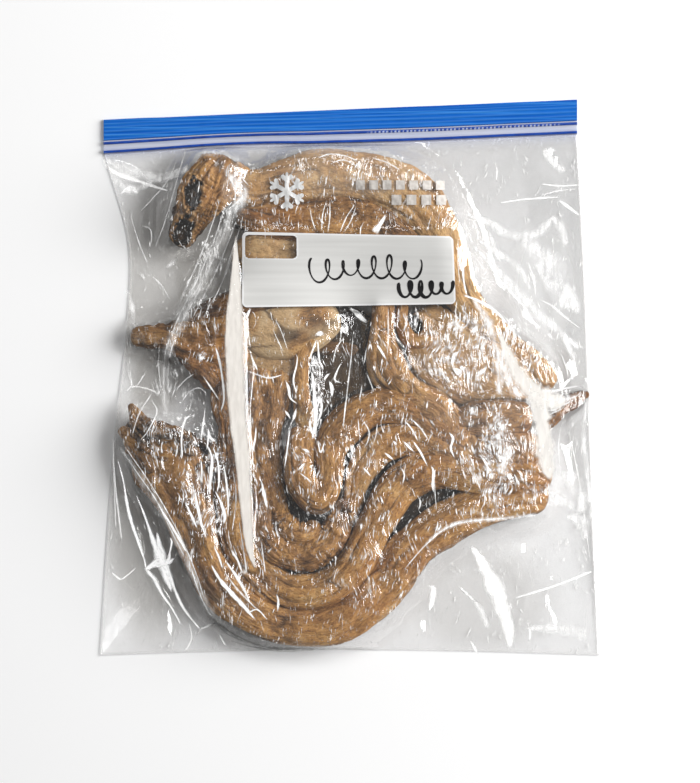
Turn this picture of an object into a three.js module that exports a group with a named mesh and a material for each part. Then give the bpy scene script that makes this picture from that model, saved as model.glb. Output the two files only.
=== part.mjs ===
// Dried snakehead, bent and coiled in a clear zip freezer bag that lies on its back.
// Millimetres. +X runs across the bag, +Y up to its zip and +Z away from the table.
// The bag is one closed body: a flat underside at z = 0 and a film drawn over the fish.

import * as THREE from "three";

// Bag outline, as seen from above
const footWidth = 269.4; // bottom edge, side seal to side seal
const mouthWidth = 255.5; // top of the lips, end to end
const bagHeight = 300; // bottom edge to the top of the lips at their higher end
const mouthRise = 10.9; // how much higher the right end of the mouth lies
const mouthShift = -4.9; // the mouth's middle, left of the bottom edge's middle
const footBow = 3; // the bottom edge rises this far between its corners
const leftWaist = [[-127.5, -40], [-120.5, 25], [-119.3, 72]]; // the left side is drawn in
const rightWaist = [[132.4, -95], [129.7, -12], [126.5, 70]];

// Film
const sealThickness = 0.8; // both films at the seals
const filmSlack = 0.17; // how readily the film sinks between what holds it up
const fieldStep = 3; // spacing of the points where the film's height is worked out
const settlingRounds = 260;
const columns = 54; // faces across the bag
const rows = 60; // faces along the bag

// Zip, measured down from the top of the lips
const zipPieces = [
  { name: "zip_lip", from: 0, to: 11.5, thickness: 1.3, ribs: 5, ribHeight: 0.3, color: 0x2670cd },
  { name: "zip_track_upper", from: 11.8, to: 13.2, thickness: 2.3, ribs: 0, color: 0x143296 },
  { name: "zip_band", from: 13.5, to: 17.1, thickness: 1.5, ribs: 0, color: 0x8c98d8 },
  { name: "zip_track_lower", from: 17.4, to: 18.6, thickness: 2.3, ribs: 0, color: 0x143296 },
];
const zipSteps = 16;
const jointGap = 0.3; // left between pieces that touch

// Write-on panel printed on the film
const panelCorners = [[-57.5, 37.5], [57, 39.3], [55.5, 75.5], [-57.5, 78]]; // from the lower left
const panelThickness = 0.4;
const panelLift = 0.35; // clear of the film below it
const panelReach = 2.8; // the stiffer panel lies on the highest film within this distance
const panelColumns = 26;
const panelRows = 9;
const panelCornerRadius = 4;
const windowMargin = 1.6; // the panel's first column and last row, beside its clear window
const windowCells = { left: 1, right: 7, bottom: 5, top: 8 }; // the window, in its upper left

// Each fish or fold of one: places along its back, as [x, y, half width, height of its back]
const fish = {
  archedFish: [
    [-92, 76, 8, 15], [-81, 96, 16, 24], [-55, 101, 14, 17], [-25, 97, 21, 17], [5, 98, 23, 18],
    [38, 86, 19, 18], [54, 52, 12, 16], [80, 22, 8, 13], [109, -4, 4, 9],
  ],
  leftFish: [[-118, 22, 5, 9], [-97, 21, 10, 13], [-75, 21, 21, 15], [-45, 23, 24, 15], [-10, 35, 13, 13]],
  outerFish: [
    [-103, -30, 20, 15], [-90, -68, 13, 17], [-62, -119, 11, 17], [-27, -136, 9, 16],
    [6, -124, 11, 17], [40, -87, 12, 16], [70, -70, 11, 17], [107, -62, 9, 15],
  ],
  innerFish: [
    [-70, -8, 9, 12], [-64, -48, 16, 16], [-52, -98, 11, 15], [-23, -115, 11, 16], [2, -98, 9, 15],
    [25, -58, 10, 18], [49, -49, 10, 20], [80, -51, 15, 21], [106, -52, 13, 18],
  ],
  middleFish: [[-41, 3, 13, 15], [-43, -34, 11, 16], [-41, -72, 8, 14]],
  curledTail: [[-11, -69, 8, 15], [-14, -88, 9, 16], [-33, -97, 7, 15], [-41, -84, 5, 14]],
  foldedLobe: [[-20, -68, 11, 18], [-20, -45, 14, 21], [-3, -22, 11, 19], [27, -19, 12, 20], [69, -34, 14, 22]],
  innerBand: [[-5, -86, 4, 13], [3, -57, 8, 17], [22, -36, 9, 18], [59, -37, 10, 20]],
  upperBand: [[18, 42, 8, 14], [22, 0, 10, 17], [50, -20, 11, 20], [77, -52, 9, 19]],
  eyeBand: [[26, 42, 4, 13], [30, 24, 4, 14], [44, 20, 5, 15]],
  rightFish: [[34, 33, 9, 14], [52, 20, 21, 18], [80, 4, 18, 18], [101, -8, 8, 15]],
  bluntFish: [[55, -23, 8, 19], [99, -20, 8, 20]],
  tailTip: [[104, -26, 6, 17], [116, -17, 4, 11], [126.5, -10, 1.5, 4]],
};
const stepsPerStation = 9; // cross sections worked out between two places of a back
const backFlatness = 2.6; // 2 gives a round back, more a flatter one

const spline = (points) => new THREE.SplineCurve(points.map(([x, y]) => new THREE.Vector2(x, y)));

// Mouth and bottom edge
const lipTop = (u) => {
  const x = mouthShift + (u - 0.5) * mouthWidth;
  const y = bagHeight / 2 - (1 - u) * mouthRise;
  return new THREE.Vector2(x, y);
};
const zipLine = (u, down) => lipTop(u).add(new THREE.Vector2(0, -down));
const zipFoot = zipPieces.at(-1).to + jointGap;
const footEdge = (u) => {
  const bow = footBow * Math.sin(Math.PI * u);
  return new THREE.Vector2((u - 0.5) * footWidth, bow - bagHeight / 2);
};
const corner = (edge, u) => edge(u).toArray();
const mouthEdge = (u) => zipLine(u, zipFoot);
const leftEdge = spline([corner(footEdge, 0), ...leftWaist, corner(mouthEdge, 0)]);
const rightEdge = spline([corner(footEdge, 1), ...rightWaist, corner(mouthEdge, 1)]);

// A point of the bag from its four edges: u across, v up
function placeOnBag(u, v) {
  const sides = leftEdge.getPointAt(v).multiplyScalar(1 - u)
    .add(rightEdge.getPointAt(v).multiplyScalar(u));
  const ends = footEdge(u).multiplyScalar(1 - v).add(mouthEdge(u).multiplyScalar(v));
  const corners = footEdge(0).multiplyScalar((1 - u) * (1 - v))
    .add(footEdge(1).multiplyScalar(u * (1 - v)))
    .add(mouthEdge(0).multiplyScalar((1 - u) * v))
    .add(mouthEdge(1).multiplyScalar(u * v));
  return sides.add(ends).sub(corners);
}

// Cross sections of every fish, close together along its back
function fishSections() {
  const sections = [];
  for (const stations of Object.values(fish)) {
    const route = spline(stations.map(([x, y]) => [x, y]));
    const size = spline(stations.map(([, , halfWidth, back]) => [halfWidth, back]));
    const count = (stations.length - 1) * stepsPerStation;
    for (let i = 0; i <= count; i++) {
      const place = route.getPoint(i / count);
      const [halfWidth, back] = size.getPoint(i / count).toArray();
      sections.push({ x: place.x, y: place.y, halfWidth, back });
    }
  }
  return sections;
}

// Height of the film on a square grid: it rests on the fish and sags between them
function makeFilmField() {
  const halfSpan = bagHeight / 2 + 2 * fieldStep;
  const count = Math.ceil((2 * halfSpan) / fieldStep) + 1;
  const contour = [];
  for (let i = 0; i < columns; i++) contour.push(placeOnBag(i / columns, 0));
  for (let j = 0; j < rows; j++) contour.push(placeOnBag(1, j / rows));
  for (let i = columns; i > 0; i--) contour.push(placeOnBag(i / columns, 1));
  for (let j = rows; j > 0; j--) contour.push(placeOnBag(0, j / rows));
  const isInside = (x, y) => {
    let inside = false;
    contour.forEach((a, i) => {
      const b = contour[(i + 1) % contour.length];
      const crosses = a.y > y !== b.y > y && x < ((b.x - a.x) * (y - a.y)) / (b.y - a.y) + a.x;
      if (crosses) inside = !inside;
    });
    return inside;
  };

  const support = new Float64Array(count * count).fill(sealThickness);
  for (const { x, y, halfWidth, back } of fishSections()) {
    const low = (value) => Math.max(0, Math.floor((value - halfWidth + halfSpan) / fieldStep));
    const high = (value) => Math.min(count - 1, Math.ceil((value + halfWidth + halfSpan) / fieldStep));
    for (let j = low(y); j <= high(y); j++) {
      for (let i = low(x); i <= high(x); i++) {
        const away = Math.hypot(i * fieldStep - halfSpan - x, j * fieldStep - halfSpan - y) / halfWidth;
        if (away >= 1) continue;
        const height = back * Math.sqrt(1 - away ** backFlatness);
        support[j * count + i] = Math.max(support[j * count + i], height);
      }
    }
  }

  const free = support.map((_, k) => {
    const x = (k % count) * fieldStep - halfSpan;
    const y = Math.floor(k / count) * fieldStep - halfSpan;
    return isInside(x, y) ? 1 : 0;
  });
  const film = support.map((height, k) => (free[k] ? height : sealThickness));
  for (let round = 0; round < settlingRounds; round++) {
    for (let k = count; k < film.length - count; k++) {
      if (!free[k]) continue;
      const around = (film[k - 1] + film[k + 1] + film[k - count] + film[k + count]) / 4;
      film[k] = Math.max(support[k], around - filmSlack);
    }
  }

  return (x, y) => {
    const across = (x + halfSpan) / fieldStep;
    const along = (y + halfSpan) / fieldStep;
    const i = Math.floor(across);
    const j = Math.floor(along);
    const [s, t] = [across - i, along - j];
    const k = j * count + i;
    return (film[k] * (1 - s) + film[k + 1] * s) * (1 - t)
      + (film[k + count] * (1 - s) + film[k + count + 1] * s) * t;
  };
}

function geometryFrom(vertices, triangles) {
  const geometry = new THREE.BufferGeometry();
  geometry.setAttribute("position", new THREE.Float32BufferAttribute(vertices.flat(), 3));
  geometry.setIndex(triangles.flat());
  geometry.computeVertexNormals();
  return geometry;
}

// The bag: a film over the fish, down to the seals, and a flat underside
function makeBagGeometry(filmHeight) {
  const vertices = [];
  const triangles = [];
  const top = (i, j) => j * (columns + 1) + i;
  const isRim = (i, j) => i === 0 || j === 0 || i === columns || j === rows;
  for (let j = 0; j <= rows; j++) {
    for (let i = 0; i <= columns; i++) {
      const place = placeOnBag(i / columns, j / rows);
      const height = isRim(i, j) ? sealThickness : filmHeight(place.x, place.y);
      vertices.push([place.x, place.y, height]);
    }
  }
  for (let j = 0; j < rows; j++) {
    for (let i = 0; i < columns; i++) {
      const [a, b, c, d] = [top(i, j), top(i + 1, j), top(i + 1, j + 1), top(i, j + 1)];
      triangles.push([a, b, c], [a, c, d]);
    }
  }

  const rim = [];
  for (let i = 0; i < columns; i++) rim.push(top(i, 0));
  for (let j = 0; j < rows; j++) rim.push(top(columns, j));
  for (let i = columns; i > 0; i--) rim.push(top(i, rows));
  for (let j = rows; j > 0; j--) rim.push(top(0, j));
  const firstUnder = vertices.length;
  for (const k of rim) vertices.push([vertices[k][0], vertices[k][1], 0]);
  rim.forEach((k, i) => {
    const next = (i + 1) % rim.length;
    triangles.push([k, firstUnder + i, firstUnder + next], [k, firstUnder + next, rim[next]]);
  });
  const outline = rim.map((k) => new THREE.Vector2(vertices[k][0], vertices[k][1]));
  for (const [a, b, c] of THREE.ShapeUtils.triangulateShape(outline, [])) {
    triangles.push([firstUnder + a, firstUnder + c, firstUnder + b]);
  }
  return geometryFrom(vertices, triangles);
}

// One strip of the zip: its section, ribbed on top where it has ribs, carried along the mouth
function makeZipGeometry({ from, to, thickness, ribs, ribHeight }) {
  const section = [[to, 0], [from, 0], [from, thickness]];
  const pitch = (to - from) / (2 * ribs + 1);
  for (let i = 0; i < ribs; i++) {
    const start = from + (2 * i + 1) * pitch;
    section.push([start, thickness], [start + pitch * 0.3, thickness + ribHeight]);
    section.push([start + pitch * 0.7, thickness + ribHeight], [start + pitch, thickness]);
  }
  section.push([to, thickness]);
  const vertices = [];
  const triangles = [];
  const size = section.length;
  for (let step = 0; step <= zipSteps; step++) {
    for (const [down, height] of section) {
      const place = zipLine(step / zipSteps, down);
      vertices.push([place.x, place.y, height]);
    }
  }
  for (let step = 0; step < zipSteps; step++) {
    for (let i = 0; i < size; i++) {
      const next = (i + 1) % size;
      const [a, b] = [step * size + i, step * size + next];
      triangles.push([a, b + size, a + size], [a, b, b + size]);
    }
  }
  const cap = THREE.ShapeUtils.triangulateShape(section.map(([y, z]) => new THREE.Vector2(y, z)), []);
  const last = zipSteps * size;
  for (const [a, b, c] of cap) {
    triangles.push([a, b, c], [last + a, last + c, last + b]);
  }
  return geometryFrom(vertices, triangles);
}

// The write-on panel follows the film, with rounded corners and an open window
function makePanelGeometry(filmHeight) {
  const [lowerLeft, lowerRight, upperRight, upperLeft] = panelCorners.map((p) => new THREE.Vector2(...p));
  const trim = panelCornerRadius * (1 - Math.SQRT1_2);
  const [narrowColumn, narrowRow] = [upperLeft.distanceTo(upperRight), upperLeft.distanceTo(lowerLeft)]
    .map((side) => windowMargin / side);
  const place = (i, j) => {
    const u = i === 0 ? 0 : narrowColumn + (1 - narrowColumn) * (i - 1) / (panelColumns - 1);
    const v = j === panelRows ? 1 : (1 - narrowRow) * j / (panelRows - 1);
    const low = lowerLeft.clone().lerp(lowerRight, u);
    const point = low.lerp(upperLeft.clone().lerp(upperRight, u), v);
    const isCorner = (i === 0 || i === panelColumns) && (j === 0 || j === panelRows);
    if (isCorner) point.add(new THREE.Vector2(i === 0 ? trim : -trim, j === 0 ? trim : -trim));
    return point;
  };
  const isWindow = (i, j) => i >= windowCells.left && i < windowCells.right
    && j >= windowCells.bottom && j < windowCells.top;
  const hasCell = (i, j) => i >= 0 && j >= 0 && i < panelColumns && j < panelRows && !isWindow(i, j);

  const vertices = [];
  const triangles = [];
  const numbers = new Map();
  const steps = [-panelReach, 0, panelReach];
  const filmBelow = ({ x, y }) => Math.max(...steps.flatMap((dx) => steps.map((dy) => filmHeight(x + dx, y + dy))));
  const vertex = (i, j, layer) => {
    const key = `${i},${j},${layer}`;
    if (!numbers.has(key)) {
      const point = place(i, j);
      const height = filmBelow(point) + panelLift + layer * panelThickness;
      numbers.set(key, vertices.length);
      vertices.push([point.x, point.y, height]);
    }
    return numbers.get(key);
  };
  const wall = (i, j, nextI, nextJ) => {
    const [a, b] = [vertex(i, j, 0), vertex(nextI, nextJ, 0)];
    const [c, d] = [vertex(nextI, nextJ, 1), vertex(i, j, 1)];
    triangles.push([a, b, c], [a, c, d]);
  };
  for (let j = 0; j < panelRows; j++) {
    for (let i = 0; i < panelColumns; i++) {
      if (!hasCell(i, j)) continue;
      const ring = (layer) => [
        vertex(i, j, layer), vertex(i + 1, j, layer), vertex(i + 1, j + 1, layer), vertex(i, j + 1, layer),
      ];
      const [a, b, c, d] = ring(1);
      triangles.push([a, b, c], [a, c, d]);
      const [e, f, g, h] = ring(0);
      triangles.push([e, g, f], [e, h, g]);
      if (!hasCell(i, j - 1)) wall(i, j, i + 1, j);
      if (!hasCell(i + 1, j)) wall(i + 1, j, i + 1, j + 1);
      if (!hasCell(i, j + 1)) wall(i + 1, j + 1, i, j + 1);
      if (!hasCell(i - 1, j)) wall(i, j + 1, i, j);
    }
  }
  return geometryFrom(vertices, triangles);
}

function addPiece(group, name, geometry, color, roughness) {
  const material = new THREE.MeshStandardMaterial({ color, roughness, metalness: 0 });
  const mesh = new THREE.Mesh(geometry, material);
  mesh.name = name;
  group.add(mesh);
}

const part = new THREE.Group();
const filmHeight = makeFilmField();
addPiece(part, "bag", makeBagGeometry(filmHeight), 0x9c7650, 0.35);
for (const piece of zipPieces) {
  addPiece(part, piece.name, makeZipGeometry(piece), piece.color, 0.4);
}
addPiece(part, "write_on_panel", makePanelGeometry(filmHeight), 0xdedbd8, 0.5);

export default part;
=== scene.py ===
import math

import bpy
import numpy as np
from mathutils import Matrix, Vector


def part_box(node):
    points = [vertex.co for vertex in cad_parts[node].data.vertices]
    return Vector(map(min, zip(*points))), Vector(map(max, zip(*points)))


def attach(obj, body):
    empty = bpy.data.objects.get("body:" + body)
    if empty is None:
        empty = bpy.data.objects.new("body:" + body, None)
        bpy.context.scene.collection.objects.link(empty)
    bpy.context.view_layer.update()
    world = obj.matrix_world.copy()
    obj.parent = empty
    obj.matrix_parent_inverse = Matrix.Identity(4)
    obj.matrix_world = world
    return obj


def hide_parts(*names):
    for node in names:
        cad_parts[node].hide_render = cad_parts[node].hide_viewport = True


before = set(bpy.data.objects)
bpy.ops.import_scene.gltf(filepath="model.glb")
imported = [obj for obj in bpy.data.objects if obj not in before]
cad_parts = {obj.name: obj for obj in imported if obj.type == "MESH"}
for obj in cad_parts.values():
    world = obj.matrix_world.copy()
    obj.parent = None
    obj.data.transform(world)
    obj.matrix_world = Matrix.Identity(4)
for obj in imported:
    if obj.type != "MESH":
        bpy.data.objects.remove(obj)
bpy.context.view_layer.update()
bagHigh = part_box("bag")[1]
mm = 0.001


def deselectAll():
    bpy.ops.object.select_all(action="DESELECT")


def useOnly(item):
    deselectAll()
    item.select_set(True)
    bpy.context.view_layer.objects.active = item


def pointsOf(item):
    points = np.empty(len(item.data.vertices) * 3)
    item.data.vertices.foreach_get("co", points)
    return points.reshape(-1, 3)


def movePoints(item, points):
    item.data.vertices.foreach_set("co", np.asarray(points, float).ravel())
    item.data.update()


# A flat grid, one wide and one tall, to be bent into a piece, and its points
def newGrid(name, columns, rows):
    deselectAll()
    bpy.ops.mesh.primitive_grid_add(x_subdivisions=columns, y_subdivisions=rows, size=1)
    body = bpy.context.object
    body.name = name
    return body, pointsOf(body)


# One value for each point, in the points' order, and the same for all those made after them
def addAttribute(item, name, values, forTheRest=0.0):
    filled = np.full(len(item.data.vertices), forTheRest, np.float32)
    filled[:len(values)] = values
    attribute = item.data.attributes.new(name, "FLOAT", "POINT")
    attribute.data.foreach_set("value", filled)


def applyModifier(item, kind, **settings):
    useOnly(item)
    modifier = item.modifiers.new(kind.title(), kind)
    for key, value in settings.items():
        setattr(modifier, key, value)
    bpy.ops.object.modifier_apply(modifier=modifier.name)


# The open rim goes straight down to a height, mm, and one face closes it there
def closeBelow(item, low):
    count = len(item.data.vertices)
    useOnly(item)
    bpy.ops.object.mode_set(mode="EDIT")
    bpy.ops.mesh.select_all(action="SELECT")
    bpy.ops.mesh.region_to_loop()
    bpy.ops.mesh.extrude_region_move()
    bpy.ops.object.mode_set(mode="OBJECT")
    points = pointsOf(item)
    points[count:, 2] = low * mm
    movePoints(item, points)
    bpy.ops.object.mode_set(mode="EDIT")
    bpy.ops.mesh.edge_face_add()
    bpy.ops.object.mode_set(mode="OBJECT")


def smoothstep(low, high, value):
    part = np.clip((value - low) / (high - low), 0, 1)
    return part * part * (3 - 2 * part)


latticeHash = {"seed": 374761393, "axes": (73856093, 19349663, 83492791), "mix": (1274126177, 668265263)}


# Noise from -1 to 1 on a lattice of unit cells, the same in each run
def softNoise(points, seed):
    cell = np.floor(points).astype(np.int64)
    part = points - cell
    fade = part ** 3 * (part * (part * 6 - 15) + 10)
    total = np.zeros(points.shape[0])
    low32, (firstMix, lastMix) = 0xFFFFFFFF, latticeHash["mix"]
    for corner in np.ndindex(*(2,) * points.shape[1]):
        step = np.array(corner)
        at = cell + step
        mixed = np.full(points.shape[0], seed * latticeHash["seed"], np.int64)
        for axis, prime in zip(range(points.shape[1]), latticeHash["axes"]):
            mixed ^= at[:, axis] * prime
        mixed &= low32
        mixed = ((mixed ^ (mixed >> 13)) * firstMix) & low32
        mixed = ((mixed ^ (mixed >> 16)) * lastMix) & low32
        value = ((mixed >> 8) & 0xFFFF) / 32767.5 - 1
        total += value * np.prod(np.where(step, fade, 1 - fade), axis=1)
    return total


# Rows of numbers joined by a smooth curve that passes through each of them, its points evenly spaced
def curveThrough(rows, count):
    rows = np.array(rows, float)
    padded = np.vstack([2 * rows[0] - rows[1], rows, 2 * rows[-1] - rows[-2]])

    def at(t):
        i = np.minimum(t.astype(int), len(rows) - 2)
        f = (t - i)[:, None]
        a, b, c, d = (padded[i + k] for k in range(4))
        return 0.5 * (2 * b + (c - a) * f + (2 * a - 5 * b + 4 * c - d) * f ** 2
                      + (3 * b - a - 3 * c + d) * f ** 3)

    fine = at(np.linspace(0, len(rows) - 1, 40 * len(rows)))
    walked = np.concatenate([[0], np.cumsum(np.linalg.norm(np.diff(fine[:, :2], axis=0), axis=1))])
    even = np.linspace(0, walked[-1], count)
    return np.stack([np.interp(even, walked, fine[:, k]) for k in range(fine.shape[1])], axis=1)


# The straight length of a row of places
def lengthOf(rows):
    return np.linalg.norm(np.diff(np.array(rows)[:, :2], axis=0), axis=1).sum()


# Which way a line runs at each of its points, in the floor's plane
def headingsOf(line):
    steps = np.gradient(line[:, :2], axis=0)
    return steps / np.linalg.norm(steps, axis=1)[:, None]


# A grid's points as a flat ribbon: which point of the line each belongs to, and its side, from -1 to 1
def ribbonPlaces(flat, line):
    return np.rint((flat[:, 0] + 0.5) * (len(line) - 1)).astype(int), flat[:, 1] * 2


def besideLine(line, k, side, half):
    heading = headingsOf(line)
    return line[k, 0] - heading[k, 1] * side * half, line[k, 1] + heading[k, 0] * side * half


view = {
    "middle": (0.3, -7.6),  # mm, the point of the floor under the picture's middle
    "height": 422.8,  # mm of floor that the picture's height takes in
    "distance": 2200,  # mm, lens to floor
    "sensor": 36,
    "clipEnd": 20,  # m
}


def makeCamera():
    bpy.ops.object.camera_add(location=Vector((*view["middle"], view["distance"])) * mm)
    camera = bpy.context.object
    camera.data.sensor_width = view["sensor"]
    camera.data.lens = view["sensor"] * view["distance"] / view["height"]
    camera.data.clip_end = view["clipEnd"]
    bpy.context.scene.camera = camera


studio = {
    "floorSize": 6.0,
    "floorDrop": 0.0003,  # m below the pack, so the two don't share a plane
    "floorColour": (0.985, 0.985, 0.985),
    "air": 0.15,
    # name: side and height that the light stands at, in degrees, its distance, width, depth and power
    "lamps": {
        "rightBox": (12, 29, 3.0, 1.95, 2.05, 154),
        "leftBox": (178, 44, 1.6, 0.7, 0.7, 0.8),
        "backBox": (84, 52, 2.4, 1.0, 0.45, 9),
    },
}


def makeStudio():
    deselectAll()
    bpy.ops.mesh.primitive_grid_add(x_subdivisions=2, y_subdivisions=2, size=studio["floorSize"],
                                    location=(0, 0, -studio["floorDrop"]))
    floor = bpy.context.object
    floor.name = "floor"
    floor.data.materials.append(floorPaint())
    for name, (side, rise, distance, width, depth, power) in studio["lamps"].items():
        a, e = math.radians(side), math.radians(rise)
        place = Vector((math.cos(a) * math.cos(e), math.sin(a) * math.cos(e), math.sin(e))) * distance
        bpy.ops.object.light_add(type="AREA", location=place)
        lamp = bpy.context.object
        lamp.name = name
        lamp.rotation_euler = (-place).to_track_quat("-Z", "Y").to_euler()
        lamp.data.shape = "RECTANGLE"
        lamp.data.size = width
        lamp.data.size_y = depth
        lamp.data.energy = power
    world = bpy.data.worlds.new("studioAir")
    world.use_nodes = True
    world.node_tree.nodes["Background"].inputs["Color"].default_value = (1, 1, 1, 1)
    world.node_tree.nodes["Background"].inputs["Strength"].default_value = studio["air"]
    bpy.context.scene.world = world


def newMaterial(name):
    material = bpy.data.materials.new(name)
    material.use_nodes = True
    material.node_tree.nodes.clear()
    return material, material.node_tree


def fill(tree, socket, value):
    if isinstance(value, bpy.types.NodeSocket):
        tree.links.new(value, socket)
    elif value is not None:
        socket.default_value = value


def add(tree, kind, inputs=None, **settings):
    node = tree.nodes.new("ShaderNode" + kind)
    for key, value in settings.items():
        setattr(node, key, value)
    for key, value in (inputs or {}).items():
        fill(tree, node.inputs[key], value)
    return node


def finish(tree, surface):
    add(tree, "OutputMaterial", {"Surface": surface.outputs[0]})


def onObject(tree):
    return add(tree, "TexCoord").outputs["Object"]


def painted(tree, name):
    return add(tree, "Attribute", attribute_name=name).outputs["Fac"]


def placed(tree, vector, scale, turn=0.0):
    inputs = {"Vector": vector, "Rotation": (0, 0, turn), "Scale": scale}
    return add(tree, "Mapping", inputs).outputs["Vector"]


def noise(tree, vector, scale, detail=2.0, roughness=0.5, distortion=0.0):
    inputs = {"Vector": vector, "Scale": scale, "Detail": detail, "Roughness": roughness,
              "Distortion": distortion}
    return add(tree, "TexNoise", inputs).outputs["Fac"]


def ramp(tree, factor, stops):
    node = add(tree, "ValToRGB", {"Fac": factor})
    elements = node.color_ramp.elements
    while len(elements) < len(stops):
        elements.new(0.5)
    for element, (at, colour) in zip(elements, stops):
        element.position = at
        element.color = (*colour, 1)
    return node.outputs["Color"]


def blendColours(tree, factor, first, second, kind="MIX"):
    node = add(tree, "Mix", {0: factor, 6: first, 7: second}, data_type="RGBA", blend_type=kind)
    return node.outputs[2]


def maths(tree, kind, first, second=None, third=None):
    return add(tree, "Math", {0: first, 1: second, 2: third}, operation=kind).outputs[0]


def above(tree, value, low, high):
    return add(tree, "MapRange", {"Value": value, "From Min": low, "From Max": high}).outputs[0]


facetLean = (0.03, 0.32, 0.945)  # which way the small facets of the painted glints face


# White of creased film, for its haze and its painted glints and highlights: lit as if it lay level, with
# small facets that lean away from the zip and mirror a lamp
def hazeAndGlintWhite(tree, colour):
    normals = []
    for x, y, z in ((0.0, 0.0, 1.0), facetLean):
        lean = add(tree, "CombineXYZ", {"X": x, "Y": y, "Z": z}).outputs[0]
        normals.append(add(tree, "VectorTransform", {"Vector": lean}, vector_type="NORMAL",
                           convert_from="OBJECT", convert_to="WORLD").outputs[0])
    level = add(tree, "BsdfDiffuse", {"Color": colour, "Normal": normals[0]})
    facets = add(tree, "BsdfAnisotropic", {"Color": (1, 1, 1, 1), "Roughness": 0.25, "Normal": normals[1]})
    share = maths(tree, "MULTIPLY_ADD", painted(tree, "matte"), -0.14, 0.14)
    return add(tree, "MixShader", {0: share, 1: level.outputs[0], 2: facets.outputs[0]}).outputs[0]


def floorPaint():
    material, tree = newMaterial("floorPaint")
    plain = studio["floorColour"]
    colour = ramp(tree, noise(tree, onObject(tree), 3.0), [(0, plain), (1, [c * 1.01 for c in plain])])
    finish(tree, add(tree, "BsdfDiffuse", {"Color": colour}))
    return material


fishColours = {
    "straw": (0.72, 0.445, 0.18),
    "golden": (0.575, 0.303, 0.092),
    "brown": (0.34, 0.165, 0.05),
    "deep": (0.09, 0.04, 0.016),
    "copper": (0.44, 0.17, 0.042, 1),
    "pale": (0.66, 0.48, 0.275, 1),
    "black": (0.020, 0.017, 0.015, 1),
    # crease: painted shade in the valleys of the skin and in the gaps between fish
    "crease": (0.030, 0.014, 0.008, 1),
    "speck": (0.1, 0.05, 0.025, 1),
    "mottle": ((0.56, 0.5, 0.45), (0.9, 0.885, 0.87), (1.05, 1.05, 1.05)),
}
skinGrain = {  # how each pattern is stretched on the body's own map, or its scale on the object
    "streaks": (4.0, 1.1, 1),
    "fibres": (22.0, 3.4, 1),
    "longGrain": (12.0, 2.4, 1),
    "blotches": 60.0,
    "grain": 850.0,
    "warmth": 28.0,
    "specks": 420.0,
}


# Dried skin: soft streaks along the body on its own map, mottling, and specks and fibres on all of it
def driedSkin():
    material, tree = newMaterial("driedSkin")
    along = add(tree, "UVMap", uv_map="alongBody").outputs["UV"]
    place = onObject(tree)
    streaks = noise(tree, placed(tree, along, skinGrain["streaks"]), 1.0, 4.0, 0.6, 0.8)
    fibres = noise(tree, placed(tree, along, skinGrain["fibres"]), 1.0, 3.0, distortion=0.6)
    blotches = noise(tree, place, skinGrain["blotches"], 4.0, 0.6)
    grain = noise(tree, place, skinGrain["grain"], 3.0, 0.7)
    longGrain = noise(tree, placed(tree, along, skinGrain["longGrain"]), 1.0, 3.0, 0.7, 0.5)
    mottling = add(tree, "Mix", {"Factor": 0.55, "A": grain, "B": longGrain}).outputs["Result"]

    # the darkest and lightest browns follow the streaks, the blotches, the fibres and the fish's own tone
    mixed = maths(tree, "MULTIPLY_ADD", blotches, 0.42, maths(tree, "MULTIPLY", streaks, 0.34))
    mixed = maths(tree, "MULTIPLY_ADD", fibres, 0.24, mixed)
    mixed = maths(tree, "ADD", mixed, painted(tree, "tone"))
    browns = zip((0.335, 0.43, 0.53, 0.63), ("deep", "brown", "golden", "straw"))
    colour = ramp(tree, mixed, [(at, fishColours[name]) for at, name in browns])
    warmth = noise(tree, place, skinGrain["warmth"])
    redder = maths(tree, "MULTIPLY", maths(tree, "SUBTRACT", warmth, 0.5), 2.6)
    redder = maths(tree, "MULTIPLY", add(tree, "Clamp", {"Value": redder}).outputs[0], 0.7)
    colour = blendColours(tree, redder, colour, fishColours["copper"])
    pale = painted(tree, "pale")
    colour = blendColours(tree, pale, colour, fishColours["pale"])
    mottle = ramp(tree, mottling, list(zip((0.4, 0.49, 0.6), fishColours["mottle"])))
    mottled = maths(tree, "MULTIPLY_ADD", pale, -0.8, 1.0)
    colour = blendColours(tree, mottled, colour, mottle, "MULTIPLY")
    specks = add(tree, "TexVoronoi", {"Vector": place, "Scale": skinGrain["specks"]}).outputs["Distance"]
    speck = ramp(tree, specks, [(0.1, (1, 1, 1)), (0.2, (0, 0, 0))])
    spotted = maths(tree, "MULTIPLY", speck, maths(tree, "GREATER_THAN", blotches, 0.53))
    colour = blendColours(tree, maths(tree, "MULTIPLY", spotted, 0.6), colour, fishColours["speck"])
    # painted shade in the skin's valleys and deep between the fish
    colour = blendColours(tree, painted(tree, "crease"), colour, fishColours["crease"])
    colour = blendColours(tree, painted(tree, "dark"), colour, fishColours["black"])

    height = maths(tree, "MULTIPLY_ADD", fibres, 0.8, maths(tree, "MULTIPLY", grain, 0.35))
    height = maths(tree, "MULTIPLY_ADD", streaks, 1.2, height)
    bump = add(tree, "Bump", {"Strength": 0.75, "Distance": 0.0008, "Height": height}).outputs["Normal"]
    rough = maths(tree, "MULTIPLY_ADD", fibres, 0.3, 0.36)
    finish(tree, add(tree, "BsdfPrincipled", {"Base Color": colour, "Roughness": rough, "Normal": bump,
                                              "Specular IOR Level": 0.35}))
    return material


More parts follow.
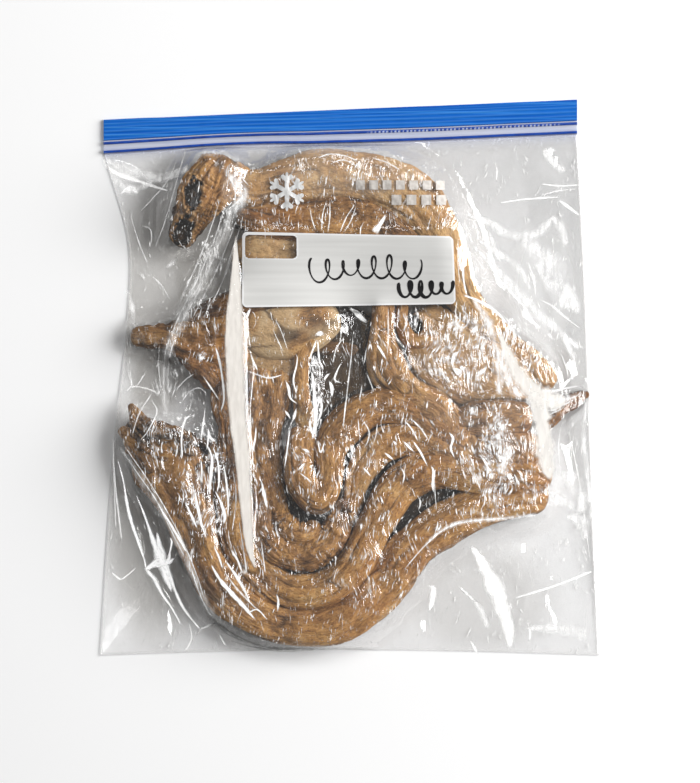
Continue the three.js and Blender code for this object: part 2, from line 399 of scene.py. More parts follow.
film = {
    "slack": 0.085,  # how far each point of the film sinks below its neighbours, mm
    "fieldStep": 1.5,  # mm between the places where the film's height is worked out
    "rounds": 420,
    "clearance": 0.3,
    "columns": 298,
    "rows": 322,
    "rim": 0.5,
    "sealWidth": 1.6,
    "across": 255,  # mm, its rough width and its height up to the zip
    "up": 281,
    "gloss": 0.06,
    "haze": 0.018,
    "clearColours": ((0.987, 0.987, 0.989, 1), (0.72, 0.71, 0.695, 1)),  # clear, and dimmed by painted shadow
    "hazeAndGlintColours": ((0.97, 0.96, 0.94, 1), (0.66, 0.69, 0.88, 1)),  # of the haze and painted glints, on the bag and by the zip
}
# Painted glints, thin white streaks too fine for the mesh: turn, stretch across, scale, what crumpling adds,
# and where they start
paintedGlintStreaks = {
    "steep": (0.1, 0.10, 1350.0, 0.11, 0.69),
    "slanting": (0.75, 0.13, 1200.0, 0.09, 0.70),
    "crossing": (-0.5, 0.12, 1100.0, 0.08, 0.70),
}
sparkles = (2100.0, 0.09, 0.735)  # painted sparkling glints: scale, what crumpling adds, and where they start


# The bump of crumpled film, and the share of it painted white as fine glints
def crumpledFilm(tree, place):
    wander = add(tree, "TexNoise", {"Vector": place, "Scale": 45.0, "Detail": 1.0}).outputs["Color"]
    bent = add(tree, "VectorMath", {0: wander, 1: (0.016, 0.016, 0.0)}, operation="MULTIPLY").outputs[0]
    moved = add(tree, "VectorMath", {0: place, 1: bent}, operation="ADD").outputs[0]
    crumple = painted(tree, "crumple")

    def stretched(turn, across, scale):
        return noise(tree, placed(tree, moved, (1.0, across, 0.4), turn), scale)

    facets = add(tree, "TexVoronoi", {"Vector": moved, "Scale": 230.0}, feature="F1").outputs["Distance"]
    height = maths(tree, "MULTIPLY_ADD", facets, 0.25, stretched(0.0, 0.15, 430.0))
    normal = add(tree, "Bump", {"Strength": crumple, "Distance": 0.003, "Height": height}).outputs[0]

    clusters = noise(tree, place, 120.0, 1.0)
    more = maths(tree, "MULTIPLY_ADD", clusters, 0.22, -0.11)
    marks = [(stretched(turn, across, scale), gain, level)
             for turn, across, scale, gain, level in paintedGlintStreaks.values()]
    scale, gain, level = sparkles
    marks.append((noise(tree, moved, scale, 1.0), gain, level))
    share = 0.0
    for pattern, gain, level in marks:
        raised = maths(tree, "ADD", maths(tree, "MULTIPLY_ADD", crumple, gain, pattern), more)
        share = maths(tree, "MAXIMUM", share, above(tree, raised, level, level + 0.04))
    strength = noise(tree, place, 260.0, 1.0)
    return normal, maths(tree, "MULTIPLY", share, above(tree, strength, 0.3, 0.66))


# Clear film: what lies under it shows, creases catch the lamps through the bump and with painted glints,
# painted shadow dims it and painted reflections brighten it in places, and the seals and the zip's foot are
# milky
def clearFilm(name, gloss, creased):
    material, tree = newMaterial(name)
    tint = painted(tree, "tint")
    hazeAndGlintColour = blendColours(tree, tint, *film["hazeAndGlintColours"])
    hazeAndGlintShare = maths(tree, "MULTIPLY_ADD", painted(tree, "seal"), 0.22, film["haze"])
    shine = {"Roughness": film["gloss"], "Color": (1, 1, 1, 1)}
    edgeOn = {"Blend": 0.5}
    if creased:
        shine["Normal"], paintedGlints = crumpledFilm(tree, onObject(tree))
        edgeOn["Normal"] = shine["Normal"]
        hazeAndGlintShare = maths(tree, "MAXIMUM", paintedGlints, hazeAndGlintShare)
        hazeAndPaintedLight = hazeAndGlintWhite(tree, hazeAndGlintColour)
    else:
        hazeAndPaintedLight = add(tree, "BsdfDiffuse", {"Color": hazeAndGlintColour}).outputs[0]
    glossy = add(tree, "BsdfAnisotropic", shine)
    clearColour = blendColours(tree, painted(tree, "shade"), *film["clearColours"])
    clear = add(tree, "BsdfTransparent", {"Color": clearColour})
    hazeAndGlintShare = maths(tree, "MULTIPLY_ADD", tint, 0.35, hazeAndGlintShare)
    hazeAndGlintShare = maths(tree, "ADD", hazeAndGlintShare, painted(tree, "hazeAndPaintedLight"))
    body = add(tree, "MixShader", {0: hazeAndGlintShare, 1: clear.outputs[0], 2: hazeAndPaintedLight})
    edgeOn = maths(tree, "POWER", add(tree, "LayerWeight", edgeOn).outputs["Facing"], 5.0)
    share = maths(tree, "MULTIPLY_ADD", edgeOn, 0.8, gloss)
    finish(tree, add(tree, "MixShader", {0: share, 1: body.outputs[0], 2: glossy.outputs[0]}))
    return material


# Colours of the painted highlights on the film's creases
highlightColours = {
    "keen": (0.96, 0.955, 0.94, 1),
    "matte": (0.95, 0.905, 0.845, 1),
    "streaks": [(0.35, (0.88, 0.875, 0.87)), (0.62, (1.0, 1.0, 1.0))],
}


# Painted highlights: white strokes on the film's creases, where they would mirror the lamps
def highlightPaint():
    material, tree = newMaterial("paintedCreaseHighlights")
    place = onObject(tree)
    fibres = noise(tree, placed(tree, place, (1.0, 0.22, 0.4), 0.3), 520.0, 3.0)
    patches = noise(tree, place, 95.0)
    white = painted(tree, "white")
    broken = maths(tree, "MULTIPLY", above(tree, fibres, 0.36, 0.56), above(tree, patches, 0.3, 0.5))
    broken = maths(tree, "MAXIMUM", broken, above(tree, white, 0.45, 0.9))
    share = maths(tree, "MULTIPLY", white, maths(tree, "MULTIPLY_ADD", broken, 0.75, 0.25))
    clear = add(tree, "BsdfTransparent", {"Color": (1, 1, 1, 1)})
    matte = add(tree, "Clamp", {"Value": painted(tree, "matte")}).outputs[0]
    colour = blendColours(tree, matte, highlightColours["keen"], highlightColours["matte"])
    streaked = ramp(tree, fibres, highlightColours["streaks"])
    colour = blendColours(tree, 1.0, colour, streaked, "MULTIPLY")
    finish(tree, add(tree, "MixShader", {0: share, 1: clear.outputs[0], 2: hazeAndGlintWhite(tree, colour)}))
    return material


# What each piece is to the frame: it rides on the pack's one body and stands for its node
def putInFrame(body, node):
    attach(body, "root")
    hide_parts(node)


# Places along each back, mm: x, y, height of the middle, half width, half thickness
fish = {
    "head": [(-93, 71, 7, 4.5, 5), (-90, 76, 9, 7.5, 7), (-84, 87, 11, 11, 9), (-77, 100, 12, 14.5, 10.5),
             (-70, 111, 12, 13.5, 10.5), (-66, 119, 11, 8.5, 9)],
    "archedBack": [(-61, 101, 10, 11, 7), (-47, 101, 9.5, 12, 7.5), (-32, 105, 9.5, 13, 8),
                   (-16, 108, 9.5, 14, 8.5), (1, 108, 9.5, 14, 8.5), (21, 103, 9.5, 15, 8.5),
                   (37, 93, 9.5, 15, 8.5), (49, 75, 9, 12, 8), (55, 55, 9, 11, 7.5), (64, 38, 8, 9, 7),
                   (80, 22, 7.3, 8, 6.2), (95, 9, 6.5, 7.8, 5.5), (109.5, -5.5, 5, 5.6, 4)],
    "archedFold": [(-61, 89, 7, 5.5, 5), (-47, 85, 9, 9.5, 6), (-27, 84, 9, 13, 7), (-2, 86, 9, 14, 7.5),
                   (19, 83, 9, 14, 7.5), (34, 69, 8, 11, 7), (41, 50, 8, 7.5, 6)],
    "jaw": [(-93, 12, 6, 3, 3.4), (-86, 10, 8, 6, 5), (-78, 5, 8.6, 7.5, 5.6), (-71, -5, 8, 6, 5)],
    "leftHead": [(-118, 22, 4.4, 4.4, 3.6), (-110, 22, 5.4, 6.2, 4.6), (-99, 21.5, 6.7, 8.2, 5.8),
                 (-91, 20.5, 7.4, 11, 6.6), (-84, 19, 7.8, 14.5, 6.9), (-75, 18, 8, 17.5, 7),
                 (-61, 18, 7.7, 18.5, 6.8), (-50, 15, 6.2, 14, 5.8)],
    "leftBack": [(-88, 30, 7.5, 5, 5.5), (-74, 36, 8.5, 7, 6.5), (-59, 40, 8.5, 8.5, 7),
                 (-40, 43, 8, 8.5, 7), (-21, 47, 7.5, 7.5, 6.5)],
    "paleBelly": [(-60, 26, 7, 11, 6), (-47, 25, 8.5, 15.5, 7), (-32, 25, 8.6, 16, 7.4),
                  (-17, 30, 7.7, 13, 6.8), (-6, 36, 6.4, 7.5, 5.6)],
    "bellyLayer": [(-59, 14, 5.4, 7.5, 4.6), (-47, 8, 6.3, 8, 5.2), (-34, 6, 6.3, 7, 5.2),
                   (-26, 11, 5.6, 5, 4.4)],
    "sideStrip": [(-10, 33, 7.5, 4, 4), (-18, 25, 9.5, 5, 4.4), (-24, 15, 10.3, 4.6, 4.6),
                  (-26, 1, 10.5, 4.4, 4.6), (-25, -16, 10.8, 5, 5), (-22, -28, 11, 5.5, 5)],
    "middleFish": [(-47, 13, 4.4, 11, 3.6), (-46, 3, 6.4, 14.5, 5.4), (-44.5, -12, 7.7, 14, 6.8),
                   (-47.5, -29, 8.3, 11.5, 7.2), (-46, -47, 8, 12.3, 7), (-42.5, -64, 7.3, 9.6, 6.4),
                   (-41, -77, 6.4, 6.5, 5.6)],
    "leftArm": [(-71, 16, 4.6, 6, 3.6), (-68, 3, 6, 7, 5), (-66.5, -12, 7.5, 8, 6), (-63.5, -26, 8, 7.5, 7),
                (-62.5, -40, 8.3, 8.5, 7.2), (-63, -52, 8.3, 10.5, 7.2), (-62, -66, 8, 10.5, 7)],
    "neck": [(-70, 108, 10, 9, 7), (-61, 104, 10, 10.5, 7.2), (-51, 102, 9.5, 9, 6.6)],
    "tornFlesh": [(-117, -22, 6, 4.5, 4), (-112, -29, 8.5, 7.5, 5.5), (-103, -34, 10.5, 9, 6),
                  (-91, -37.5, 11, 9, 6), (-79, -43, 10, 9, 6), (-68, -46, 8.2, 6.5, 5.2)],
    "tornFlap": [(-118, -14, 7.5, 1.2, 1.2), (-115.5, -19, 9, 3, 2.2), (-111, -25, 11, 5, 3),
                 (-102, -29, 13, 5.5, 3.4), (-92, -31, 13.5, 4.5, 3.2), (-84, -35, 12, 3, 2.6)],
    "tornLip": [(-124, -27.5, 6.5, 1.4, 1.6), (-119.5, -31, 8, 4, 3), (-114, -38, 10, 6.5, 4),
                (-108, -47, 11.5, 7, 4.4), (-101, -57, 12, 5.5, 4)],
    "goldenEdge": [(-81, -74, 9, 2, 2.6), (-78, -86, 10, 3.4, 4.4), (-75.5, -100, 10.6, 4, 5),
                   (-71, -114, 10.6, 4.4, 5), (-61, -126.5, 10.4, 4.6, 5), (-47, -134.5, 9.8, 4.2, 4.6),
                   (-34, -138.5, 9, 3, 3.6)],
    "outerFish": [(-109, -32, 7, 15, 6.5), (-99, -44, 8.5, 20, 7.5), (-91.5, -56, 8.7, 18, 7.8),
                  (-85, -75, 9, 14, 8), (-79, -95, 8.8, 11.5, 8.2), (-68, -114, 8.8, 11, 8.2),
                  (-49, -128.5, 8.5, 10.5, 8), (-26, -134.5, 8.5, 9.6, 8), (-3, -129.5, 8.8, 11, 8.2),
                  (19, -111, 8.8, 12.5, 8.2), (37, -90, 9, 12, 8), (59, -75, 8.7, 11, 7.8),
                  (81, -67, 8.4, 10.5, 7.6), (98, -65, 8, 9, 7), (107, -67, 7, 6.5, 5.8)],
    "innerFish": [(-66, -50, 7.2, 8.5, 6.8), (-62, -69, 8.3, 11, 7.2), (-59, -88, 8.5, 11, 7.5),
                  (-50, -104, 8.5, 10.5, 7.5), (-33, -115, 8.5, 10.5, 7.5), (-13, -114, 8.7, 11, 7.8),
                  (3, -101, 9, 10.5, 8), (15, -77.5, 9.3, 9.8, 8.2), (27.5, -58, 9.6, 11.8, 8.4),
                  (48, -48, 9.9, 12, 8.6), (72, -50, 10.2, 13.5, 8.8), (89, -51, 9.5, 15, 8.5),
                  (100, -54, 8.6, 12.5, 7.6), (108, -58, 7.2, 8, 5.8)],
    "curledTail": [(-4, -64, 8.5, 6, 5.5), (-5, -77, 9.3, 8, 6.5), (-12, -89, 9.5, 9.5, 7),
                   (-24, -96, 9.6, 9.5, 7.4), (-37, -94, 9.6, 8.5, 7.2), (-46, -85, 9.4, 7.5, 7),
                   (-46, -73, 8.6, 7, 6.4), (-43, -62, 7.6, 5.5, 5.6)],
    "curlCore": [(-37, -66, 8, 4, 5), (-37, -75, 9.6, 6.5, 6.2), (-31, -83, 10.2, 7.5, 6.6),
                 (-22, -84, 10, 6.5, 6.4), (-16, -78, 9, 4.5, 5.6)],
    "foldedLobe": [(-25, -26, 11, 7.5, 6), (-27, -40, 12, 8.5, 7), (-26, -55, 12.9, 9, 7.6),
                   (-17, -65, 13.2, 9, 7.8), (-11, -54, 12.6, 8, 7.4), (-11, -39, 12, 9, 7),
                   (-2, -25, 11.8, 10.5, 7.2), (14, -16, 12.1, 10.5, 7.4), (34, -16, 12.6, 10.5, 7.4),
                   (52, -25, 12.9, 11, 7.6), (65, -37, 12.6, 9.5, 7.4)],
    "innerBand": [(-2, -82, 7, 2.5, 4), (1, -70, 8.1, 5, 5.4), (5, -54, 9.1, 8, 6.4), (14, -39, 10, 9.8, 7),
                  (33, -32, 10.8, 10, 7.2), (53, -36, 11.6, 9.5, 7.4), (67, -46, 11.5, 7.5, 7)],
    "upperBand": [(19, 42, 8, 6.5, 6), (18, 23, 9.2, 7, 6.8), (21, 5, 10.6, 10.5, 7.4),
                  (32, -8, 11.7, 9, 7.8), (47, -18, 12.5, 9.5, 8), (59, -31, 12.2, 9, 7.8),
                  (65, -42, 11.8, 7.5, 7.2)],
    "eyeBand": [(29, 40, 7.6, 3, 4.4), (28, 30, 8.5, 4, 5), (33, 20, 9.3, 4.5, 5.2), (43, 19, 9.3, 5, 5.2),
                (52, 23, 9, 4.5, 5)],
    "rightFish": [(36, 36, 6.5, 9, 5), (47, 22, 8, 21, 5.8), (62, 8, 8.8, 28, 6.4), (83, -3, 8.4, 18, 6.2),
                  (97, -10, 6.6, 9, 5.2)],
    "bluntFish": [(54, -25, 12.5, 6.5, 7), (68, -23, 13.5, 10.5, 8), (83, -22, 13.5, 10.5, 8),
                  (98.5, -22.6, 12.4, 9.4, 7.4)],
    "bluntFold": [(65, -37, 12, 8, 7), (81, -37.5, 13, 10.5, 8), (93, -40, 12.2, 10.5, 7.4),
                  (100, -47, 10.6, 9, 6.8)],
    "tailTip": [(104, -27, 8, 3.6, 3.8), (110, -22.2, 7.4, 3.1, 3.5), (115.5, -17, 6.4, 3.1, 3.2),
                (120.5, -12.6, 5, 4.3, 3), (125.5, -9.8, 3.9, 3.2, 2.3), (129.4, -8.9, 3.1, 1.5, 1.4)],
    "darkSkin": [(-24, 22, 4.4, 12, 3.6), (-5, 18, 5, 22, 4), (-1, 0, 5.3, 26, 4.2), (-8, -18, 5, 20, 4),
                 (-17, -30, 4.4, 9, 3.6)],
    "skinFold": [(-20, 16, 5.8, 3.6, 2.8), (-9, 15.6, 6.6, 5, 3.2), (2, 14.2, 6.6, 5, 3.2),
                 (12, 13, 5.6, 3.6, 2.8)],
    # a dark sheet in a hole between the fish: painted shade
    "holeShade": [(49, 42, 5.4, 11, 4.6), (61, 32, 6, 9.5, 5), (69, 20, 6, 7.5, 5)],
    "coveredFish": [(-64, 66, 6, 7, 4.6), (-55, 66, 7.5, 10, 5.5), (-44, 67, 8, 10.5, 6),
                    (-30, 67, 7.5, 10, 6), (-8, 66, 7.5, 10, 6), (14, 62, 7, 9, 5.5), (30, 56, 6.5, 7, 5)],
    # dark sheets low between the fish: partly dark skin, partly painted shade in the gaps
    "shadeAndSkinBelow": [(-62, -58, 3, 17, 2.4), (-38, -72, 3, 34, 2.6), (-5, -76, 3, 40, 2.6),
                  (28, -62, 3.4, 33, 2.8), (58, -46, 3.6, 27, 3), (94, -42, 3.2, 17, 2.6)],
    "shadeAndSkinBelowArch": [(-66, 88, 3, 7, 2.4), (-40, 90, 3.4, 14, 2.8), (0, 92, 3.6, 16, 3),
                      (34, 80, 3.4, 13, 2.8), (50, 58, 3, 7, 2.4)],
}

# What sets single fish apart from the rest
fishLook = {
    "default": {
        "around": 110, "ringStep": 0.95,  # points around each section, and mm between the sections
        "endRound": 0.7,  # length of the cap at each end, as a share of the half width there
        "fold": 1.5, "wrinkle": 0.75, "cross": 0.3, "ragged": 0.0,  # heights of the relief, mm
        "tone": 0.0, "crossShade": 0.4,  # lighter above 0, and how dark the painted shade in the wrinkles across it is
        "pale": 0.0, "evenPale": 0.1, "dark": 0.0,
        "tear": 1.0, "hollowShade": 0.8,  # how torn the rims of its hollows are, and how dark the painted shade is in them
    },
    "head": {"fold": 3.2, "wrinkle": 2.0, "cross": 0.9, "around": 150, "ringStep": 0.45, "hollowShade": 0.78,
             "tear": 0.85},
    "archedBack": {"tone": 0.05, "pale": 0.3, "evenPale": 0.4},
    # darker than the arch above it: painted shade in its lower inner fold
    "archedFold": {"tone": -0.07, "fold": 1.8},
    "leftHead": {"tone": -0.02, "fold": 2.4, "wrinkle": 1.5, "cross": 0.6, "ragged": 0.9},
    "jaw": {"tone": -0.1, "fold": 1.8, "wrinkle": 1.2, "ragged": 0.8},
    "leftBack": {"tone": -0.1},
    "paleBelly": {"fold": 0.6, "wrinkle": 0.2, "cross": 0.05, "pale": 0.9, "tone": 0.02, "evenPale": 0.75},
    "bellyLayer": {"fold": 0.5, "wrinkle": 0.3, "pale": 0.6, "tone": -0.03, "evenPale": 0.7},
    "tornFlesh": {"fold": 4.0, "wrinkle": 3.2, "cross": 2.4, "dark": 0.3, "tone": -0.09, "around": 130,
                  "ringStep": 0.5, "ragged": 3.4},
    "tornFlap": {"fold": 1.6, "wrinkle": 1.6, "cross": 1.2, "dark": 0.25, "tone": -0.06, "around": 90,
                 "ringStep": 0.5, "ragged": 2.0},
    "tornLip": {"fold": 1.2, "wrinkle": 1.2, "cross": 1.0, "dark": 0.1, "tone": -0.05, "around": 90,
                "ringStep": 0.5, "ragged": 1.6},
    "neck": {"fold": 2.2, "wrinkle": 1.2, "tone": 0.03, "pale": 0.15},
    "skinFold": {"fold": 0.6, "wrinkle": 0.4, "dark": 0.5, "tone": -0.04, "around": 64},
    "coveredFish": {"pale": 0.6, "tone": 0.05, "evenPale": 0.5},
    "bluntFish": {"pale": 0.12, "tone": -0.05},
    "bluntFold": {"pale": 0.12, "tone": -0.03, "fold": 1.9, "wrinkle": 1.1},
    "middleFish": {"tone": -0.05},
    "leftArm": {"tone": -0.12},
    "outerFish": {"fold": 1.8},
    "foldedLobe": {"tone": -0.025, "fold": 1.2},
    "goldenEdge": {"tone": 0.09, "fold": 0.6, "wrinkle": 0.35, "cross": 0.2, "around": 72, "pale": 0.1},
    "innerBand": {"tone": 0.04, "pale": 0.12},
    "upperBand": {"tone": 0.02, "pale": 0.1},
    "innerFish": {"tone": 0.015},
    "curledTail": {"cross": 1.55, "crossShade": 0.85, "fold": 1.1, "wrinkle": 0.9, "tone": -0.06},
    "curlCore": {"cross": 1.9, "crossShade": 0.85, "fold": 0.9, "wrinkle": 0.7, "tone": -0.05},
    "rightFish": {"tone": 0.05, "fold": 1.7, "pale": 0.3},
    # the dark sheets below: partly dark skin, partly painted shade
    "shadeAndSkinBelow": {"fold": 1.0, "wrinkle": 0.4, "dark": 0.85},
    "shadeAndSkinBelowArch": {"fold": 1.0, "wrinkle": 0.4, "dark": 0.75},
    "darkSkin": {"fold": 1.6, "wrinkle": 0.9, "dark": 0.97},
    # the dark sheet in the hole: painted shade
    "holeShade": {"fold": 1.0, "wrinkle": 0.6, "dark": 0.85},
    "tailTip": {"fold": 0.6, "wrinkle": 0.35, "around": 56, "tone": -0.12, "ragged": 0.9},
    "sideStrip": {"fold": 0.8, "wrinkle": 0.4, "around": 64, "tone": 0.03},
    "eyeBand": {"fold": 0.8, "wrinkle": 0.3, "around": 64, "tone": 0.05},
}

# Hollows that open upwards in a fish: x, y, half length, half width, turn in degrees, depth
hollows = {
    "head": [(-84, 97.5, 9, 4.6, 76, 7), (-89.2, 78.5, 9, 5.6, 66, 6)],
    "tornFlesh": [(-108, -31, 8, 4, -30, 4), (-93, -35, 7, 4, -10, 5), (-80, -39, 6, 3.4, -20, 5)],
    "rightFish": [(35.6, 27.3, 7, 4.2, 96, 9)],
}

restHeight = 0.7  # the lowest a fish lies, on the back film, mm
sectionPower = 2.5  # 2 is an oval section, more is squarer
gaps = {"from": 1.8, "to": 7.0, "most": 0.9}  # mm below the fish beside it, and how dark the painted shade on a flank gets there

# The size of each kind of relief and patch on a fish, mm across its side, up its flank and along it
relief = {
    "drift": (9, 9, 16),
    "bulge": (12, 12, 22),
    "fold": (5.6, 5.6, 30),
    "wrinkle": (2.2, 2.2, 14),
    "fineWrinkle": (1.2, 1.2, 5),
    "across": (6, 6, 1.7),
    "whereAcross": (8, 8, 12),
    "whereDeep": (9, 9, 13),
    "ragged": (3.6, 5.0, 3.2),
    "bare": (8, 11, 9),
    "patches": (11, 11, 11),
}


# Rounded swells with sharp valleys between them, 0 in a valley
def swells(points, seed):
    return np.abs(softNoise(points, seed)) ** 0.75


# A uv sphere drawn out along the fish's back: its rings are the sections, its poles the two ends
def makeFish(name, stations, seed):
    look = {**fishLook["default"], **fishLook.get(name, {})}
    length = lengthOf(stations)
    rings = int(length / look["ringStep"]) + 30
    deselectAll()
    bpy.ops.mesh.primitive_uv_sphere_add(segments=look["around"], ring_count=rings, radius=1)
    body = bpy.context.object
    body.name = name
    ball = pointsOf(body)
    angle = np.arctan2(ball[:, 1], ball[:, 0])  # 0 on the back, half a turn on the underside
    share = np.arccos(np.clip(ball[:, 2], -1, 1)) / math.pi
    along = share * length

    fine = 600
    line = curveThrough(stations, fine)
    walked = np.linspace(0, length, fine)
    heading = headingsOf(line)
    spine = np.stack([np.interp(along, walked, line[:, k]) for k in range(5)], axis=1)
    ahead = np.stack([np.interp(along, walked, heading[:, k]) for k in range(2)], axis=1)
    ahead /= np.linalg.norm(ahead, axis=1)[:, None]
    sideways = np.stack([ahead[:, 1], -ahead[:, 0]], axis=1)
    halfWidth, halfThick = spine[:, 3], spine[:, 4]

    # both ends close in a rounded cap
    cap = look["endRound"] * np.where(share < 0.5, stations[0][3], stations[-1][3])
    toEnd = np.minimum(along, length - along)
    closing = np.sqrt(np.clip(1 - (1 - np.clip(toEnd / cap, 0, 1)) ** 2, 0, 1))

    across = np.sign(np.sin(angle)) * np.abs(np.sin(angle)) ** (2 / sectionPower)
    upward = np.sign(np.cos(angle)) * np.abs(np.cos(angle)) ** (2 / sectionPower)

    # skin folds run along the body and wander, with finer wrinkles in between and some across
    ringPlace = np.stack([np.sin(angle) * halfWidth, np.cos(angle) * halfThick, along], axis=1)
    drift = np.stack([softNoise(ringPlace / relief["drift"], seed + 20 + k) for k in range(3)], axis=1)
    bent = ringPlace + drift * (2.2, 2.2, 3.0)
    bulge = softNoise(ringPlace / relief["bulge"], seed)
    fold = swells(bent / relief["fold"], seed + 1)
    wrinkle = swells(bent / relief["wrinkle"], seed + 2)
    fineWrinkle = swells(bent / relief["fineWrinkle"], seed + 3)
    acrossWrinkle = swells(bent / relief["across"], seed + 4)
    where = smoothstep(-0.1, 0.5, softNoise(ringPlace / relief["whereAcross"], seed + 6))
    outward = (look["fold"] * (0.5 * bulge + fold - 0.45) + look["wrinkle"] * (wrinkle - 0.5)
               + 0.35 * look["wrinkle"] * (fineWrinkle - 0.5)
               + look["cross"] * (0.3 + where) * (acrossWrinkle - 0.5))
    outward += look["ragged"] * softNoise(ringPlace / relief["ragged"], seed + 8)
    outward *= closing * np.minimum(1, halfThick / 6)

    # the valleys are darkened with painted shade
    deep = smoothstep(-0.2, 0.5, softNoise(ringPlace / relief["whereDeep"], seed + 7))
    foldValley = smoothstep(0.24, 0.04, fold) * (0.25 + 0.5 * deep)
    wrinkleValley = smoothstep(0.2, 0.03, wrinkle) * 0.4 * min(1, look["wrinkle"])
    acrossValley = smoothstep(0.2, 0.05, acrossWrinkle) * look["crossShade"] * where * min(1, look["cross"])
    crease = np.maximum(np.maximum(foldValley, wrinkleValley), acrossValley)

    wide = halfWidth * closing + outward
    thick = halfThick * closing + outward * 0.9
    points = np.empty_like(ball)
    points[:, :2] = spine[:, :2] + sideways * (across * wide)[:, None]
    points[:, 2] = spine[:, 2] + upward * thick

    # hollows with torn rims, darkened inside with painted shade
    dark = look["dark"] * (1 - 0.1 * smoothstep(0.2, 0.6, bulge))
    rimPale = np.zeros(len(points))
    for x, y, halfLong, halfShort, turn, depth in hollows.get(name, []):
        a = math.radians(turn)
        away = points[:, :2] - (x, y)
        u = (away[:, 0] * math.cos(a) + away[:, 1] * math.sin(a)) / halfLong
        v = (away[:, 1] * math.cos(a) - away[:, 0] * math.sin(a)) / halfShort
        torn = 0.38 * softNoise(points / 2.9, seed + 9) + 0.26 * softNoise(points / 1.2, seed + 10)
        outOf = np.hypot(u, v) + torn * look["tear"]
        inside = smoothstep(1.0, 0.72, outOf) * (upward > 0)
        rim = np.exp(-((outOf - 1.12) / 0.14) ** 2) * (upward > 0)
        points[:, 2] += rim * 0.9 - inside * depth
        rimPale = np.maximum(rimPale, rim * 0.4)
        dark = np.maximum(dark, inside * (look["hollowShade"] + 0.2 * softNoise(points / 1.4, seed + 11)))

    # what would sink into the back film lies nearly flat on it
    low = restHeight + 0.25 * bulge
    points[:, 2] = np.where(points[:, 2] < low, low + (points[:, 2] - low) * 0.04, points[:, 2])
    movePoints(body, points * mm)

    # the map is in centimetres around and along the body, and the seed sets it apart from the others
    layer = body.data.uv_layers[0]
    layer.name = "alongBody"
    girth = 5.2 * (np.mean(halfWidth) + np.mean(halfThick)) / 2 / 10
    uv = np.empty(len(body.data.loops) * 2)
    layer.data.foreach_get("uv", uv)
    uv = uv.reshape(-1, 2) * (girth, length / 10) + seed
    layer.data.foreach_set("uv", uv.ravel())

    bare = smoothstep(-0.35, 0.35, softNoise(points / relief["bare"], seed + 12))
    bare = look["evenPale"] + (1 - look["evenPale"]) * bare
    golden = inEllipses(goldenPlaces, points[:, 0] + 2.5 * drift[:, 0], points[:, 1] + 2.5 * drift[:, 1])
    patches = softNoise(points / relief["patches"], seed + 13)
    # lighter on the swells and fold crests and darker in the valleys, as painted shading; the patches vary
    # the tone at random
    tone = look["tone"] + 0.05 * bulge + 0.05 * (fold - 0.45) + 0.045 * patches - 0.05 * golden
    addAttribute(body, "crease", crease * closing)
    addAttribute(body, "pale", np.maximum(look["pale"] * bare * (1 - golden), rimPale))
    addAttribute(body, "dark", dark)
    addAttribute(body, "tone", tone)
    useOnly(body)
    bpy.ops.object.shade_smooth()
    body.data.materials.append(skinMaterial)
    putInFrame(body, "bag")
    return body


outline = {
    "leftWaist": [(-127.5, -40), (-120.5, 25), (-119.3, 72)],
    "rightWaist": [(132.4, -95), (129.7, -12), (126.5, 70)],
    "footWidth": 269.4,
    "footBow": 3,
    "bagHeight": 300,
    "mouthWidth": 255.5,
    "mouthRise": 10.9,
    "mouthShift": -4.9,
    "zipHeight": 18.6,
    "zipSqueeze": 0.11,  # share by which the zip is narrower where it bows
    "zipBow": (0.27, 0.2),  # where along the mouth it bows, and how far to each side
}


def mouthLine(u, down):
    middle, reach = outline["zipBow"]
    squeeze = outline["zipSqueeze"] * np.exp(-((u - middle) / reach) ** 2)
    x = outline["mouthShift"] + (u - 0.5) * outline["mouthWidth"]
    y = outline["bagHeight"] / 2 - (1 - u) * outline["mouthRise"] - down * (1 - squeeze)
    return np.stack([x, y], axis=-1)


def footLine(u):
    x = (u - 0.5) * outline["footWidth"]
    y = outline["footBow"] * np.sin(np.pi * u) - outline["bagHeight"] / 2
    return np.stack([x, y], axis=-1)


# A place on the bag from its four edges: u across, v up
def placeOnBag(u, v):
    zero, one = np.zeros(1), np.ones(1)
    top = outline["zipHeight"]
    fine = 400

    def side(end, waist):
        ends = [footLine(end)[0], *waist, mouthLine(end, top)[0]]
        line = curveThrough(ends, fine)
        return np.stack([np.interp(v, np.linspace(0, 1, fine), line[:, k]) for k in range(2)], axis=-1)

    u2, v2 = u[:, None], v[:, None]
    sides = side(zero, outline["leftWaist"]) * (1 - u2) + side(one, outline["rightWaist"]) * u2
    ends = footLine(u) * (1 - v2) + mouthLine(u, top) * v2
    corners = (footLine(zero) * (1 - u2) * (1 - v2) + footLine(one) * u2 * (1 - v2)
               + mouthLine(zero, top) * (1 - u2) * v2 + mouthLine(one, top) * u2 * v2)
    return sides + ends - corners


fieldSpan = 156.0  # mm, half the side of the square that height fields cover


def fieldLines():
    count = int(2 * fieldSpan / film["fieldStep"]) + 2
    return np.arange(count) * film["fieldStep"] - fieldSpan


def bilinear(field, x, y):
    across, up = (x + fieldSpan) / film["fieldStep"], (y + fieldSpan) / film["fieldStep"]
    i, j = np.floor(across).astype(int), np.floor(up).astype(int)
    s, t = across - i, up - j
    return ((field[j, i] * (1 - s) + field[j, i + 1] * s) * (1 - t)
            + (field[j + 1, i] * (1 - s) + field[j + 1, i + 1] * s) * t)


# The sum of the four neighbours of each place
def neighbours(field):
    wide = np.pad(field, 1, mode="edge")
    return wide[:-2, 1:-1] + wide[2:, 1:-1] + wide[1:-1, :-2] + wide[1:-1, 2:]


def blurred(field, rounds):
    for _ in range(rounds):
        field = (neighbours(field) + 2 * field) / 6
    return field


